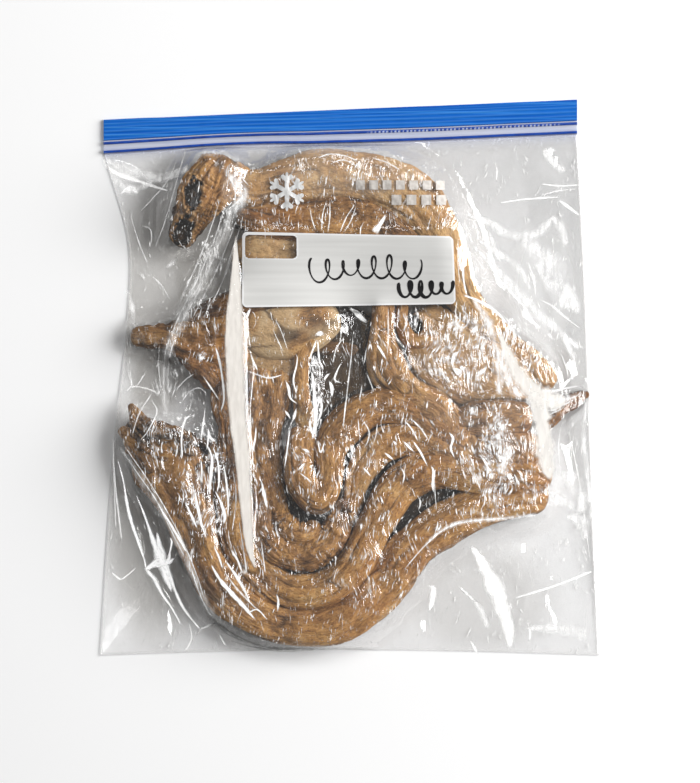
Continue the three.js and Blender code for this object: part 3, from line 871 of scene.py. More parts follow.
# The top of all that lies in the bag, mm
def topOf(bodies):
    lines = fieldLines()
    count = len(lines)
    field = np.full((count, count), film["rim"])
    for body in bodies:
        points = pointsOf(body) / mm
        i, j = np.rint((points[:, :2].T + fieldSpan) / film["fieldStep"]).astype(int)
        np.maximum.at(field, (j, i), points[:, 2])
    wide = np.pad(field, 1, mode="edge")
    return np.max([wide[a:a + count, b:b + count] for a in range(3) for b in range(3)], axis=0)


# Painted shade: flanks that lie deep between two fish are darkened
def shadeGaps(bodies, top):
    for body in bodies:
        points = pointsOf(body) / mm
        depth = bilinear(top, points[:, 0], points[:, 1]) - points[:, 2]
        crease = body.data.attributes["crease"].data
        values = np.empty(len(points))
        crease.foreach_get("value", values)
        gap = smoothstep(gaps["from"], gaps["to"], depth) * gaps["most"]
        crease.foreach_set("value", np.maximum(values, gap).astype(np.float32))


panel = {
    "corners": [(-57.5, 37.5), (57, 39.3), (55.5, 75.5), (-57.5, 78)],  # from the lower left
    "cornerRound": 2.6,
    "step": 0.6,
    # its clear window: where its sides are, from the panel's left and top edge
    "window": {"left": 1.5, "right": 29.5, "top": 1.4, "foot": 13.2, "round": 2.2},
    "lift": 0.1,
    "thickness": 0.12,
    "border": 0.7,
}


# 1 inside the write-on panel, falling to 0 over the given margin outside it
def insidePanel(x, y, margin):
    xs, ys = zip(*panel["corners"])
    outX = np.maximum(min(xs) - x, x - max(xs))
    outY = np.maximum(min(ys) - y, y - max(ys))
    return smoothstep(margin, 0, np.maximum(outX, outY))


# Places on the film and the fish: x, y, reach across and up, mm, and how much
goldenPlaces = {  # where the pale fish is golden brown
    "bellyTop": (-52, 31, 6.5, 10, 0.75),
    "bellyCorner": (-60, 22, 4, 9, 0.5),
    "bellyRight": (-19, 33, 12, 8, 0.9),
    "bellyFoot": (-27, 18, 7, 9, 0.85),
    "windowFoot": (-44, 59.5, 16, 4.5, 0.85),
    "windowLeft": (-56, 64, 4, 7, 0.6),
}
crumples = {  # where the film crumples finely, with more painted glints
    "overDarkSkin": (-2, -3, 26, 28, 0.3),
    "overRightEnds": (82, -50, 32, 30, 0.72),
    "overMiddle": (36, -32, 40, 34, 0.45),
    "overLobe": (-14, -57, 15, 12, 0.5),
    "overRightFish": (60, 14, 26, 26, 1.25),
    "overTailArm": (88, 14, 14, 20, 1.0),
    "overArch": (20, 112, 34, 8, 0.75),
    "overLeftBody": (-76, -58, 18, 42, 0.9),
    "overEdgeColumn": (78, -45, 12, 34, 1.5),
    "overSideStrip": (-18, -10, 5, 28, 1.2),
    "overOpenEnd": (-96, -30, 20, 14, 0.8),
    "besideBelly": (-60, -5, 12, 14, 0.6),
    "veilTop": (-66, 84, 7, 12, 1.0),
    "veilUpper": (-74, 65, 8, 13, 1.1),
    "veilLower": (-83, 46, 8, 13, 1.1),
    "veilFoot": (-92, 26, 8, 14, 1.0),
    "veilEnd": (-99, 2, 8, 16, 0.9),
    "overJaw": (-84, -12, 12, 12, 0.7),
}
calmPlaces = {  # where it is smooth again, stretched over the fish
    "overBelly": (-33, 23, 20, 14, 0.8),
    "overFoot": (-27, -126, 36, 16, 0.55),
    "overCurl": (-28, -88, 16, 12, 0.35),
    "overColumn": (-44, -16, 14, 22, 0.45),
    "overArm": (-70, -6, 12, 26, 0.3),
    "besidePanel": (63, 62, 10, 28, 0.9),
    "overArchFold": (0, 86, 52, 8, 0.5),
    "overGoldenEdge": (-75, -106, 8, 26, 0.6),
    "overHead": (-80, 100, 16, 24, 0.7),
    "overPale": (-95, 22, 22, 12, 0.6),
}
shades = {  # painted shadow: where the film dims what is below it
    "upperLeft": (-104, 46, 27, 66, 0.75),
    "nearOpenEnd": (-104, 0, 16, 24, 0.95),
    "lowerLeft": (-104, -80, 30, 66, 0.75),
    "lowerRight": (72, -120, 44, 32, 0.35),
    "besideHead": (-74, 57, 24, 38, 1.5),
}
hazes = {  # where it is a little milky over the fish
    "overArch": (8, 110, 56, 14, 0.055),
    "overRight": (72, -10, 40, 50, 0.03),
    "overNeck": (-61, 100, 8, 16, 0.1),
}
paintedLightBeside = {  # and beside them, where painted reflections of the lamps brighten it
    "midRight": (106, 48, 24, 48, 0.32),
    "rightEdge": (130, 10, 14, 130, 0.3),
    "topRight": (96, 104, 30, 18, 0.13),
}


def inEllipses(places, x, y):
    total = np.zeros(len(x))
    for cx, cy, rx, ry, amount in places.values():
        away = np.hypot((x - cx) / rx, (y - cy) / ry)
        total = np.maximum(total, amount * smoothstep(1.15, 0.55, away))
    return total


# Sharp folds of the film: points along each crest, mm, with how wide its bright side is there. That side
# slopes towards the lamp on the right and mirrors it, and the other side is steep.
folds = {
    "shortLeft": [(-72.1, 17, 0.4), (-71, 9.5, 2.4), (-68.9, -4.6, 1.4)],
    "marginA": [(-124.5, -43, 0.4), (-122.3, -55, 1.6), (-118.5, -69, 2.0), (-114.2, -88, 2.4),
                (-110.4, -104, 0.6)],
    "marginB": [(-115.3, -62, 0.4), (-111.5, -77, 1.6), (-107.7, -90, 3.0), (-103.4, -103, 5.0),
                (-96.9, -114, 3.6), (-89.4, -126, 2.4), (-80.7, -137, 0.6)],
    "marginC": [(-111, -104, 1.0), (-106.1, -108, 2.4), (-100.7, -116, 2.0), (-95.9, -124, 1.6),
                (-91, -133, 0.4)],
    "marginE": [(-127.7, -45.6, 0.4), (-126.6, -61, 1.6), (-122.9, -88, 0.6)],
    "footA": [(-86.1, -134, 0.4), (-85.1, -142, 1.4), (-88.8, -147.7, 0.4)],
    "footB": [(-70.5, -137.4, 0.4), (-67.2, -145, 1.2)],
    "shoulder": [(-130, 118, 0.4), (-122.9, 113.7, 2.4), (-113.1, 107.7, 3.0), (-104, 100.2, 0.5)],
    "upperLeft": [(-107, 96, 0.4), (-112, 84, 1.4), (-113, 70, 1.2), (-116, 55, 0.8), (-118, 40, 0.3)],
}
stiffFolds = {  # this one stands straight over all that lies below it
    "longBand": [(-61.3, 78, 0.4), (-65.1, 42, 9.0), (-66.7, 26, 12), (-65.6, -1, 11.2), (-64, -23, 10.2),
                 (-61.8, -39, 9.0), (-58.6, -66, 7.0), (-55.4, -90, 4.6), (-50.5, -102, 0.5)],
}
foldShape = {
    "litSide": 12,  # degrees, which way the bright side faces
    "litSlope": 0.5,
    "farSlope": 1.6,
    "margin": 6,  # mm beyond the widest bright side that a fold can reach
    "litCalm": 0.6,  # how smooth the bright side is, and that of a stiff fold
    "stiffCalm": 0.93,
}


# Raises the film's points under the tent of one fold, and tells which of them are on its bright side
def addFold(x, y, height, crest, stiff):
    a = math.radians(foldShape["litSide"])
    slope, farSlope = foldShape["litSlope"], foldShape["farSlope"]
    line = curveThrough(crest, 120)
    reach = line[:, 2].max() + foldShape["margin"]
    near = ((x > line[:, 0].min() - reach) & (x < line[:, 0].max() + reach)
            & (y > line[:, 1].min() - reach) & (y < line[:, 1].max() + reach)).nonzero()[0]
    away = np.hypot(x[near, None] - line[None, :, 0], y[near, None] - line[None, :, 1])
    at = away.argmin(axis=1)
    distance = away.min(axis=1)
    facing = (x[near] - line[at, 0]) * math.cos(a) + (y[near] - line[at, 1]) * math.sin(a) > 0
    base = height[near[away.argmin(axis=0)]]
    walked = np.linspace(-1, 1, len(line))
    if stiff:
        fit = np.polyval(np.polyfit(walked, base, 3), walked)
        base = fit + 0.8 * (base - fit).max()
    else:
        base = np.convolve(np.pad(base, 8, mode="edge"), np.ones(17) / 17, mode="valid")
    ends = smoothstep(1, 0.9, np.abs(walked))
    ridgeTop = base + line[:, 2] * slope * (0.3 + 0.7 * ends)
    width = line[at, 2] * (1.0 if stiff else 1.1)
    lit = ridgeTop[at] - slope * np.minimum(distance, width) - farSlope * np.maximum(distance - width, 0)
    tent = np.where(facing, lit, ridgeTop[at] - farSlope * distance)
    shown = (tent > height[near]) & facing
    height[near] = np.maximum(height[near], tent)
    return near, shown


def ridge(pattern, width, power):
    return np.clip(1 - np.abs(pattern) / width, 0, 1) ** power


# The film's height over the whole field: it hangs between the fish, and lies flatter under the panel
def drapeOver(top):
    support = top + film["clearance"]
    sheet = support.copy()
    for _ in range(film["rounds"]):
        sheet = np.maximum(support, neighbours(sheet) / 4 - film["slack"])
    sheet = np.maximum(blurred(sheet, 1), film["rim"])

    x, y = np.meshgrid(fieldLines(), fieldLines())
    calm = insidePanel(x, y, 4.0)
    flatter = blurred(np.maximum(blurred(sheet, 160) + 1.2, support + 0.3), 30) + 0.6
    flatter = blurred(np.maximum(flatter, support + 0.3), 2)
    return support, np.where(calm > 0, sheet * (1 - calm) + flatter * calm, sheet)


def makeFilm(top):
    support, sheet = drapeOver(top)
    body, flat = newGrid("bagFilm", film["columns"], film["rows"])
    u, v = flat[:, 0] + 0.5, flat[:, 1] + 0.5
    place = placeOnBag(u, v)
    px, py = place[:, 0], place[:, 1]
    height = bilinear(sheet, px, py)

    # loose film waves in the margins
    onFish = smoothstep(4.0, 8.0, bilinear(blurred(support, 3), px, py))
    calm = insidePanel(px, py, 2.0)
    toSide = np.minimum(np.minimum(u, 1 - u) * film["across"], np.minimum(v, 1 - v) * film["up"])
    loose = smoothstep(film["sealWidth"], film["sealWidth"] + 12, toSide)
    warp = np.stack([softNoise(place / 15, 40 + k) for k in range(2)], axis=1)
    at = place + warp * 6
    waves = softNoise(at / (17, 30), 54) * 1.9 + softNoise(at / (8, 17), 55) * 0.6
    height = height + np.maximum(waves, -0.3) * (1 - onFish) * (1 - calm) * loose

    # sharp folds stand on it, but not under the panel
    level = height.copy()
    lit = np.zeros(len(px))
    for name, crest in {**folds, **stiffFolds}.items():
        stiff = name in stiffFolds
        near, shown = addFold(px, py, height, crest, stiff)
        lit[near] = np.maximum(lit[near], shown * foldShape["stiffCalm" if stiff else "litCalm"])
    under = insidePanel(px, py, 0.5)
    height = height * (1 - under) + level * under
    calm = np.maximum(calm, lit)

    # and it creases finely where it is stretched over the fish
    long = softNoise(at / (3.0, 11.0), 50)
    short = softNoise(at / (2.3, 4.6), 51)
    slanting = np.stack([at[:, 0] + 0.5 * at[:, 1], at[:, 1] - 0.4 * at[:, 0]], axis=1)
    slant = softNoise(slanting / (2.8, 8), 52)
    patch = smoothstep(-0.25, 0.45, softNoise(place / 17, 53))
    crease = 0.55 * ridge(long, 0.45, 1.3) + 0.3 * ridge(short, 0.45, 1.1) + 0.4 * ridge(slant, 0.45, 1.4)
    crumple = np.maximum(0.6 * patch * onFish, inEllipses(crumples, px, py))
    crumple = np.maximum(crumple, 0.08 + 0.25 * onFish) * (1 - inEllipses(calmPlaces, px, py))
    height = height + crease * (0.1 + 0.9 * crumple) * (0.15 + 0.85 * onFish) * (1 - calm) * loose

    height = film["rim"] + (height - film["rim"]) * smoothstep(0, film["sealWidth"] * 2, toSide)
    height = np.minimum(height, bagHigh.z / mm)
    movePoints(body, np.column_stack([place, height]) * mm)
    closeBelow(body, 0.0)  # the rim is drawn down to the back film, which closes the bag

    # beside the fish the film is brightened with painted reflections of the lamps, and over them it is a
    # little hazy
    beside, over = inEllipses(paintedLightBeside, px, py) * (1 - onFish), inEllipses(hazes, px, py) * onFish
    addAttribute(body, "seal", 1 - smoothstep(0.4, film["sealWidth"], toSide), 1.0)
    addAttribute(body, "tint", smoothstep(9, 0, (1 - v) * film["up"]))
    addAttribute(body, "crumple", crumple * (1 - calm))
    addAttribute(body, "shade", inEllipses(shades, px, py))
    addAttribute(body, "hazeAndPaintedLight", np.maximum(beside, over))
    useOnly(body)
    bpy.ops.object.shade_smooth()
    body.data.materials.append(clearFilm("clearFilm", 0.075, True))
    body.data.materials.append(clearFilm("backFilm", 0.02, False))
    normals = np.empty(len(body.data.polygons) * 3)
    body.data.polygons.foreach_get("normal", normals)
    backFaces = (normals.reshape(-1, 3)[:, 2] < -0.5).astype(np.int32)
    body.data.polygons.foreach_set("material_index", backFaces)
    putInFrame(body, "bag")
    return body


# Each strip: mm down from the lips' top and height at points across it, from the top edge
zipStrips = {
    "zipBackLip": {
        "section": [(0.0, 0.3), (0.15, 0.55), (5.0, 0.6), (11.2, 0.6), (11.5, 0.3)],
        "slot": "lip_blue", "node": "zip_lip", "columns": 120,
    },
    "zipFrontLip": {
        "section": [(0.0, 0.9), (0.2, 1.25), (0.9, 1.35), (1.2, 1.2), (1.8, 1.2), (2.1, 1.4), (2.6, 1.4),
                    (2.9, 1.2), (3.7, 1.2), (4.0, 1.45), (4.6, 1.45), (4.9, 1.2), (5.9, 1.2), (6.2, 1.5),
                    (6.9, 1.5), (7.2, 1.2), (8.2, 1.2), (8.5, 1.45), (9.1, 1.45), (9.4, 1.2), (10.2, 1.2),
                    (10.5, 1.4), (11.1, 1.4), (11.35, 1.2), (11.5, 0.7)],
        "slot": "lip_blue", "node": "zip_lip", "columns": 160, "low": 0.62,  # it lies on the back lip
        "ribs": (1.2, 1.45),  # heights of a valley and of a rib
        "tuck": {"by": 0.85, "over": 4, "from": 0.42, "to": 0.6},  # its edge drops behind the back one
    },
    "zipBand": {
        "section": [(11.55, 0.4), (11.62, 0.85), (13.0, 0.9), (13.4, 1.0), (14.0, 1.25), (14.6, 1.0),
                    (15.6, 1.0), (16.3, 1.2), (16.9, 1.0), (18.4, 0.9), (18.7, 0.6)],
        "slot": "band_clear", "node": "zip_band", "columns": 160,
    },
    "zipTrackUpper": {
        "section": [(12.2, 0.7), (12.3, 1.6), (12.5, 1.95), (13.0, 2.05), (13.5, 1.95), (13.7, 1.6),
                    (13.8, 0.7)],
        "slot": "track_blue", "node": "zip_track_upper", "columns": 510,
        "marks": {"from": 0.55, "to": 0.97, "pitch": 2.15, "depth": 0.35, "down": (12.7, 13.0)},
    },
    "zipTrackLower": {
        "section": [(16.95, 0.7), (17.05, 1.6), (17.25, 2.0), (17.75, 2.1), (18.25, 2.0), (18.45, 1.6),
                    (18.55, 0.7)],
        "slot": "track_blue", "node": "zip_track_lower", "columns": 160,
    },
}


def makeZipStrip(name, strip):
    section = strip["section"][::-1]
    rows = len(section) - 1
    body, flat = newGrid(name, strip["columns"], rows)
    u = flat[:, 0] + 0.5
    row = np.rint((flat[:, 1] + 0.5) * rows).astype(int)
    down, height = np.array(section)[row].T
    rib, press = np.zeros(len(u)), np.zeros(len(u))
    if "tuck" in strip:
        tuck = strip["tuck"]
        share = tuck["by"] * smoothstep(tuck["from"], tuck["to"], u)
        down = down + share * smoothstep(tuck["over"], 0, down)
        rib = smoothstep(*strip["ribs"], height)
    if "marks" in strip:
        marks = strip["marks"]
        press = smoothstep(marks["from"], marks["from"] + 0.03, u)
        press *= smoothstep(marks["to"], marks["to"] - 0.02, u)
        wave = np.sin(2 * np.pi * u * outline["mouthWidth"] / marks["pitch"])
        press = press * smoothstep(0.1, 0.5, wave) * smoothstep(*marks["down"], down)
        height = height - press * marks["depth"]
    ripple = 0.06 * softNoise(np.stack([u * 60, down * 0.4], axis=1), 71)
    sway = 0.12 * softNoise(np.stack([u * 14, down * 0.05], axis=1), 72)
    movePoints(body, np.column_stack([mouthLine(u, down + sway), height + ripple]) * mm)
    closeBelow(body, strip.get("low", 0.0))
    addAttribute(body, "rib", rib)
    addAttribute(body, "press", press)
    useOnly(body)
    bpy.ops.object.shade_smooth_by_angle(angle=math.radians(50))
    body.data.materials.append(zipPaint[strip["slot"]])
    putInFrame(body, strip["node"])


zipSlant = -0.042  # radians, how the streaks in the plastic lean with the zip
zipColours = {
    "lip": [(0.36, (0.003, 0.10, 0.47)), (0.52, (0.006, 0.135, 0.55)), (0.68, (0.035, 0.22, 0.64))],
    "rib": (0.07, 0.26, 0.66, 1),
    "track": [(0.35, (0.006, 0.045, 0.30)), (0.65, (0.010, 0.07, 0.40))],
    "mark": (0.55, 0.62, 0.85, 1),
    "band": [(0.35, (0.66, 0.71, 0.86)), (0.65, (0.82, 0.84, 0.92))],
    "bandClear": (0.88, 0.91, 0.98, 1),
}


# Blue lips: streaks run along them and the ribs are lighter
def lipPlastic():
    material, tree = newMaterial("lipPlastic")
    streaks = noise(tree, placed(tree, onObject(tree), (6, 700, 6), zipSlant), 1.0, 3.0)
    colour = ramp(tree, streaks, zipColours["lip"])
    rib = maths(tree, "MULTIPLY", painted(tree, "rib"), 0.35)
    colour = blendColours(tree, rib, colour, zipColours["rib"])
    bump = add(tree, "Bump", {"Strength": 0.3, "Distance": 0.0002, "Height": streaks}).outputs["Normal"]
    finish(tree, add(tree, "BsdfPrincipled", {"Base Color": colour, "Roughness": 0.5, "Normal": bump,
                                              "Specular IOR Level": 0.12}))
    return material


def trackPlastic():
    material, tree = newMaterial("trackPlastic")
    colour = ramp(tree, noise(tree, onObject(tree), 300.0), zipColours["track"])
    colour = blendColours(tree, painted(tree, "press"), colour, zipColours["mark"])
    finish(tree, add(tree, "BsdfPrincipled", {"Base Color": colour, "Roughness": 0.3}))
    return material


def bandPlastic():
    material, tree = newMaterial("bandPlastic")
    streaks = noise(tree, placed(tree, onObject(tree), (8, 500, 8), zipSlant), 1.0)
    colour = ramp(tree, streaks, zipColours["band"])
    surface = add(tree, "BsdfPrincipled", {"Base Color": colour, "Roughness": 0.25})
    clear = add(tree, "BsdfTransparent", {"Color": zipColours["bandClear"]})
    finish(tree, add(tree, "MixShader", {0: 0.55, 1: clear.outputs[0], 2: surface.outputs[0]}))
    return material


# How high an item's top is at each place, mm
def filmTop(item, x, y):
    start, straightDown = 60, Vector((0, 0, -1))
    heights = np.empty(len(x))
    for k in range(len(x)):
        found, place, *_ = item.ray_cast(Vector((x[k], y[k], start)) * mm, straightDown)
        heights[k] = place.z / mm if found else 0
    return heights


# How far a place is outside a rectangle with round corners, below 0 inside it
def outsideRounded(x, y, left, right, low, high, radius):
    dx = np.abs(x - (left + right) / 2) - (right - left) / 2 + radius
    dy = np.abs(y - (low + high) / 2) - (high - low) / 2 + radius
    return np.hypot(np.maximum(dx, 0), np.maximum(dy, 0)) + np.minimum(np.maximum(dx, dy), 0) - radius


def makePanel(ground):
    (ax, ay), (bx, by), (cx, cy), (dx, dy) = panel["corners"]
    width, tall = bx - ax, cy - by + 2
    step, hole = panel["step"], panel["window"]
    body, flat = newGrid("writeOnPanel", int(width / step), int(tall / step))
    s, t = (flat[:, 0] + 0.5) * width, (flat[:, 1] + 0.5) * tall

    def beyond(s, t):
        whole = outsideRounded(s, t, 0, width, 0, tall, panel["cornerRound"])
        window = outsideRounded(s, t, hole["left"], hole["right"], tall - hole["foot"], tall - hole["top"],
                                hole["round"])
        return np.maximum(whole, -window)

    # points just past an outline are pulled onto it, and those further out are taken away
    tiny = 0.01
    for _ in range(4):
        out = beyond(s, t)
        ds = (beyond(s + tiny, t) - beyond(s - tiny, t)) / (2 * tiny)
        dt = (beyond(s, t + tiny) - beyond(s, t - tiny)) / (2 * tiny)
        pull = (out > 0) & (out < step * 0.75)
        s, t = np.where(pull, s - out * ds, s), np.where(pull, t - out * dt, t)
    out = beyond(s, t)
    u, v = s / width, t / tall
    x = (ax * (1 - u) + bx * u) * (1 - v) + (dx * (1 - u) + cx * u) * v
    y = (ay * (1 - u) + by * u) * (1 - v) + (dy * (1 - u) + cy * u) * v
    z = filmTop(ground, x, y) + panel["lift"]
    movePoints(body, np.column_stack([x, y, z]) * mm)
    addAttribute(body, "border", smoothstep(panel["border"] + 0.15, panel["border"] - 0.15, -out))
    useOnly(body)
    bpy.ops.object.mode_set(mode="EDIT")
    bpy.ops.mesh.select_mode(type="VERT")
    bpy.ops.mesh.select_all(action="DESELECT")
    bpy.ops.object.mode_set(mode="OBJECT")
    body.data.vertices.foreach_set("select", out >= 2 * tiny)
    bpy.ops.object.mode_set(mode="EDIT")
    bpy.ops.mesh.delete(type="VERT")
    bpy.ops.object.mode_set(mode="OBJECT")
    applyModifier(body, "SOLIDIFY", thickness=panel["thickness"] * mm, offset=1)
    bpy.ops.object.shade_smooth_by_angle(angle=math.radians(40))
    body.data.materials.append(panelPaint())
    putInFrame(body, "write_on_panel")
    return body


def panelPaint():
    material, tree = newMaterial("panelPaint")
    grain = noise(tree, placed(tree, onObject(tree), (12, 420, 12)), 1.0, 3.0)
    colour = ramp(tree, grain, [(0.3, (0.645, 0.64, 0.62)), (0.7, (0.72, 0.715, 0.695))])
    colour = blendColours(tree, painted(tree, "border"), colour, (0.86, 0.86, 0.86, 1))
    finish(tree, add(tree, "BsdfPrincipled", {"Base Color": colour, "Roughness": 0.5,
                                              "Specular IOR Level": 0.25}))
    return material


# Loops and waves like a note in marker, with no letters in them: where each runs, its size and its pen, mm
scribbles = {
    "finePen": {"from": (-20, 56.5), "to": (38, 58.5), "rise": 5.2, "loops": 7, "lean": 2.6, "width": 1.15},
    "broadPen": {"from": (27, 46.5), "to": (55, 48.5), "rise": 3.4, "loops": 5, "lean": 1.6, "width": 1.9},
}
ink = {"lift": 0.05, "thickness": 0.05, "across": 4}
badge = {"middle": (-33.5, 99.5), "reach": 10.5, "arms": 6, "width": 2.1, "twig": 4.2, "twigAt": 0.55}
blockRows = {  # where each row of plain blocks starts and ends, its height and how many
    "upperRow": ((3, 103), (53, 103), 5.0, 7),
    "lowerRow": ((22, 95), (54, 95), 5.4, 4),
}
printed = {"lift": 0.12, "points": 24, "blockPoints": 14, "blockStart": 0.4, "blockShare": 0.66}
inkLooks = {  # dark and light colour of the grain, and roughness
    "markerInk": ((0.006, 0.006, 0.007), (0.014, 0.013, 0.014), 0.4),
    "whitePrint": ((0.74, 0.74, 0.73), (0.82, 0.82, 0.81), 0.45),
    "fadedPrint": ((0.50, 0.46, 0.42), (0.62, 0.585, 0.545), 0.5),
}


def inkPaint(name):
    dark, light, roughness = inkLooks[name]
    material, tree = newMaterial(name)
    colour = ramp(tree, noise(tree, onObject(tree), 500.0), [(0.35, dark), (0.65, light)])
    finish(tree, add(tree, "BsdfPrincipled", {"Base Color": colour, "Roughness": roughness}))
    return material


def penLine(pen, seed):
    t = np.linspace(0, 1, pen["loops"] * 40)
    turn = 2 * np.pi * pen["loops"] * t
    grow = 1 + 0.3 * softNoise(np.stack([t * pen["loops"] * 0.8], axis=1), seed)
    x = pen["from"][0] + (pen["to"][0] - pen["from"][0]) * t - pen["lean"] * np.sin(turn) * grow
    y = pen["from"][1] + (pen["to"][1] - pen["from"][1]) * t + pen["rise"] * np.cos(turn) * grow
    y += pen["rise"] * 0.3 * softNoise(np.stack([t * 3.1], axis=1), seed + 1)
    return np.column_stack([x, y])


# A flat ribbon of ink along a line, draped on what it is written on, with round ends unless it is square
def makeInk(name, line, width, ground, material, node, lift, square=False):
    body, flat = newGrid(name, len(line) - 1, ink["across"])
    k, side = ribbonPlaces(flat, line)
    walked = np.concatenate([[0], np.cumsum(np.linalg.norm(np.diff(line, axis=0), axis=1))])
    half = np.full(len(line), width / 2)
    if not square:
        toEnd = np.minimum(walked, walked[-1] - walked)
        half = width / 2 * np.sqrt(np.clip(1 - (1 - np.clip(toEnd / (width / 2), 0.02, 1)) ** 2, 0, 1))
        half = half * (0.85 + 0.25 * np.sin(walked / 2.3))
    x, y = besideLine(line, k, side, half[k])
    z = filmTop(ground, x, y) + lift + 0.004 * np.sin(k * 0.05)
    movePoints(body, np.column_stack([x, y, z]) * mm)
    applyModifier(body, "SOLIDIFY", thickness=ink["thickness"] * mm, offset=1)
    body.data.materials.append(material)
    putInFrame(body, node)


# The arms and twigs of the snowflake
def badgeLines():
    lines = []
    middle = np.array(badge["middle"])

    def towards(angle):
        return np.array([math.cos(angle), math.sin(angle)])

    for k in range(badge["arms"]):
        a = 2 * math.pi * k / badge["arms"] + math.pi / 2
        lines.append((middle, middle + towards(a) * badge["reach"]))
        root = middle + towards(a) * badge["reach"] * badge["twigAt"]
        for side in (-1, 1):
            lines.append((root, root + towards(a + side * math.pi / 4) * badge["twig"]))
    return lines


def makePrint(ground):
    whitePrint, fadedPrint = inkPaint("whitePrint"), inkPaint("fadedPrint")
    for k, (start, end) in enumerate(badgeLines()):
        line = np.linspace(start, end, printed["points"])
        makeInk("badge%02d" % k, line, badge["width"], ground, whitePrint, "bag",
                printed["lift"])
    for name, (start, end, tall, count) in blockRows.items():
        pitch = (end[0] - start[0]) / count
        for k in range(count):
            x, y = start[0] + (k + printed["blockStart"]) * pitch, start[1]
            line = np.linspace((x, y - tall / 2), (x, y + tall / 2), printed["blockPoints"])
            makeInk("%s%d" % (name, k), line, pitch * printed["blockShare"], ground, fadedPrint,
                    "bag", printed["lift"], True)


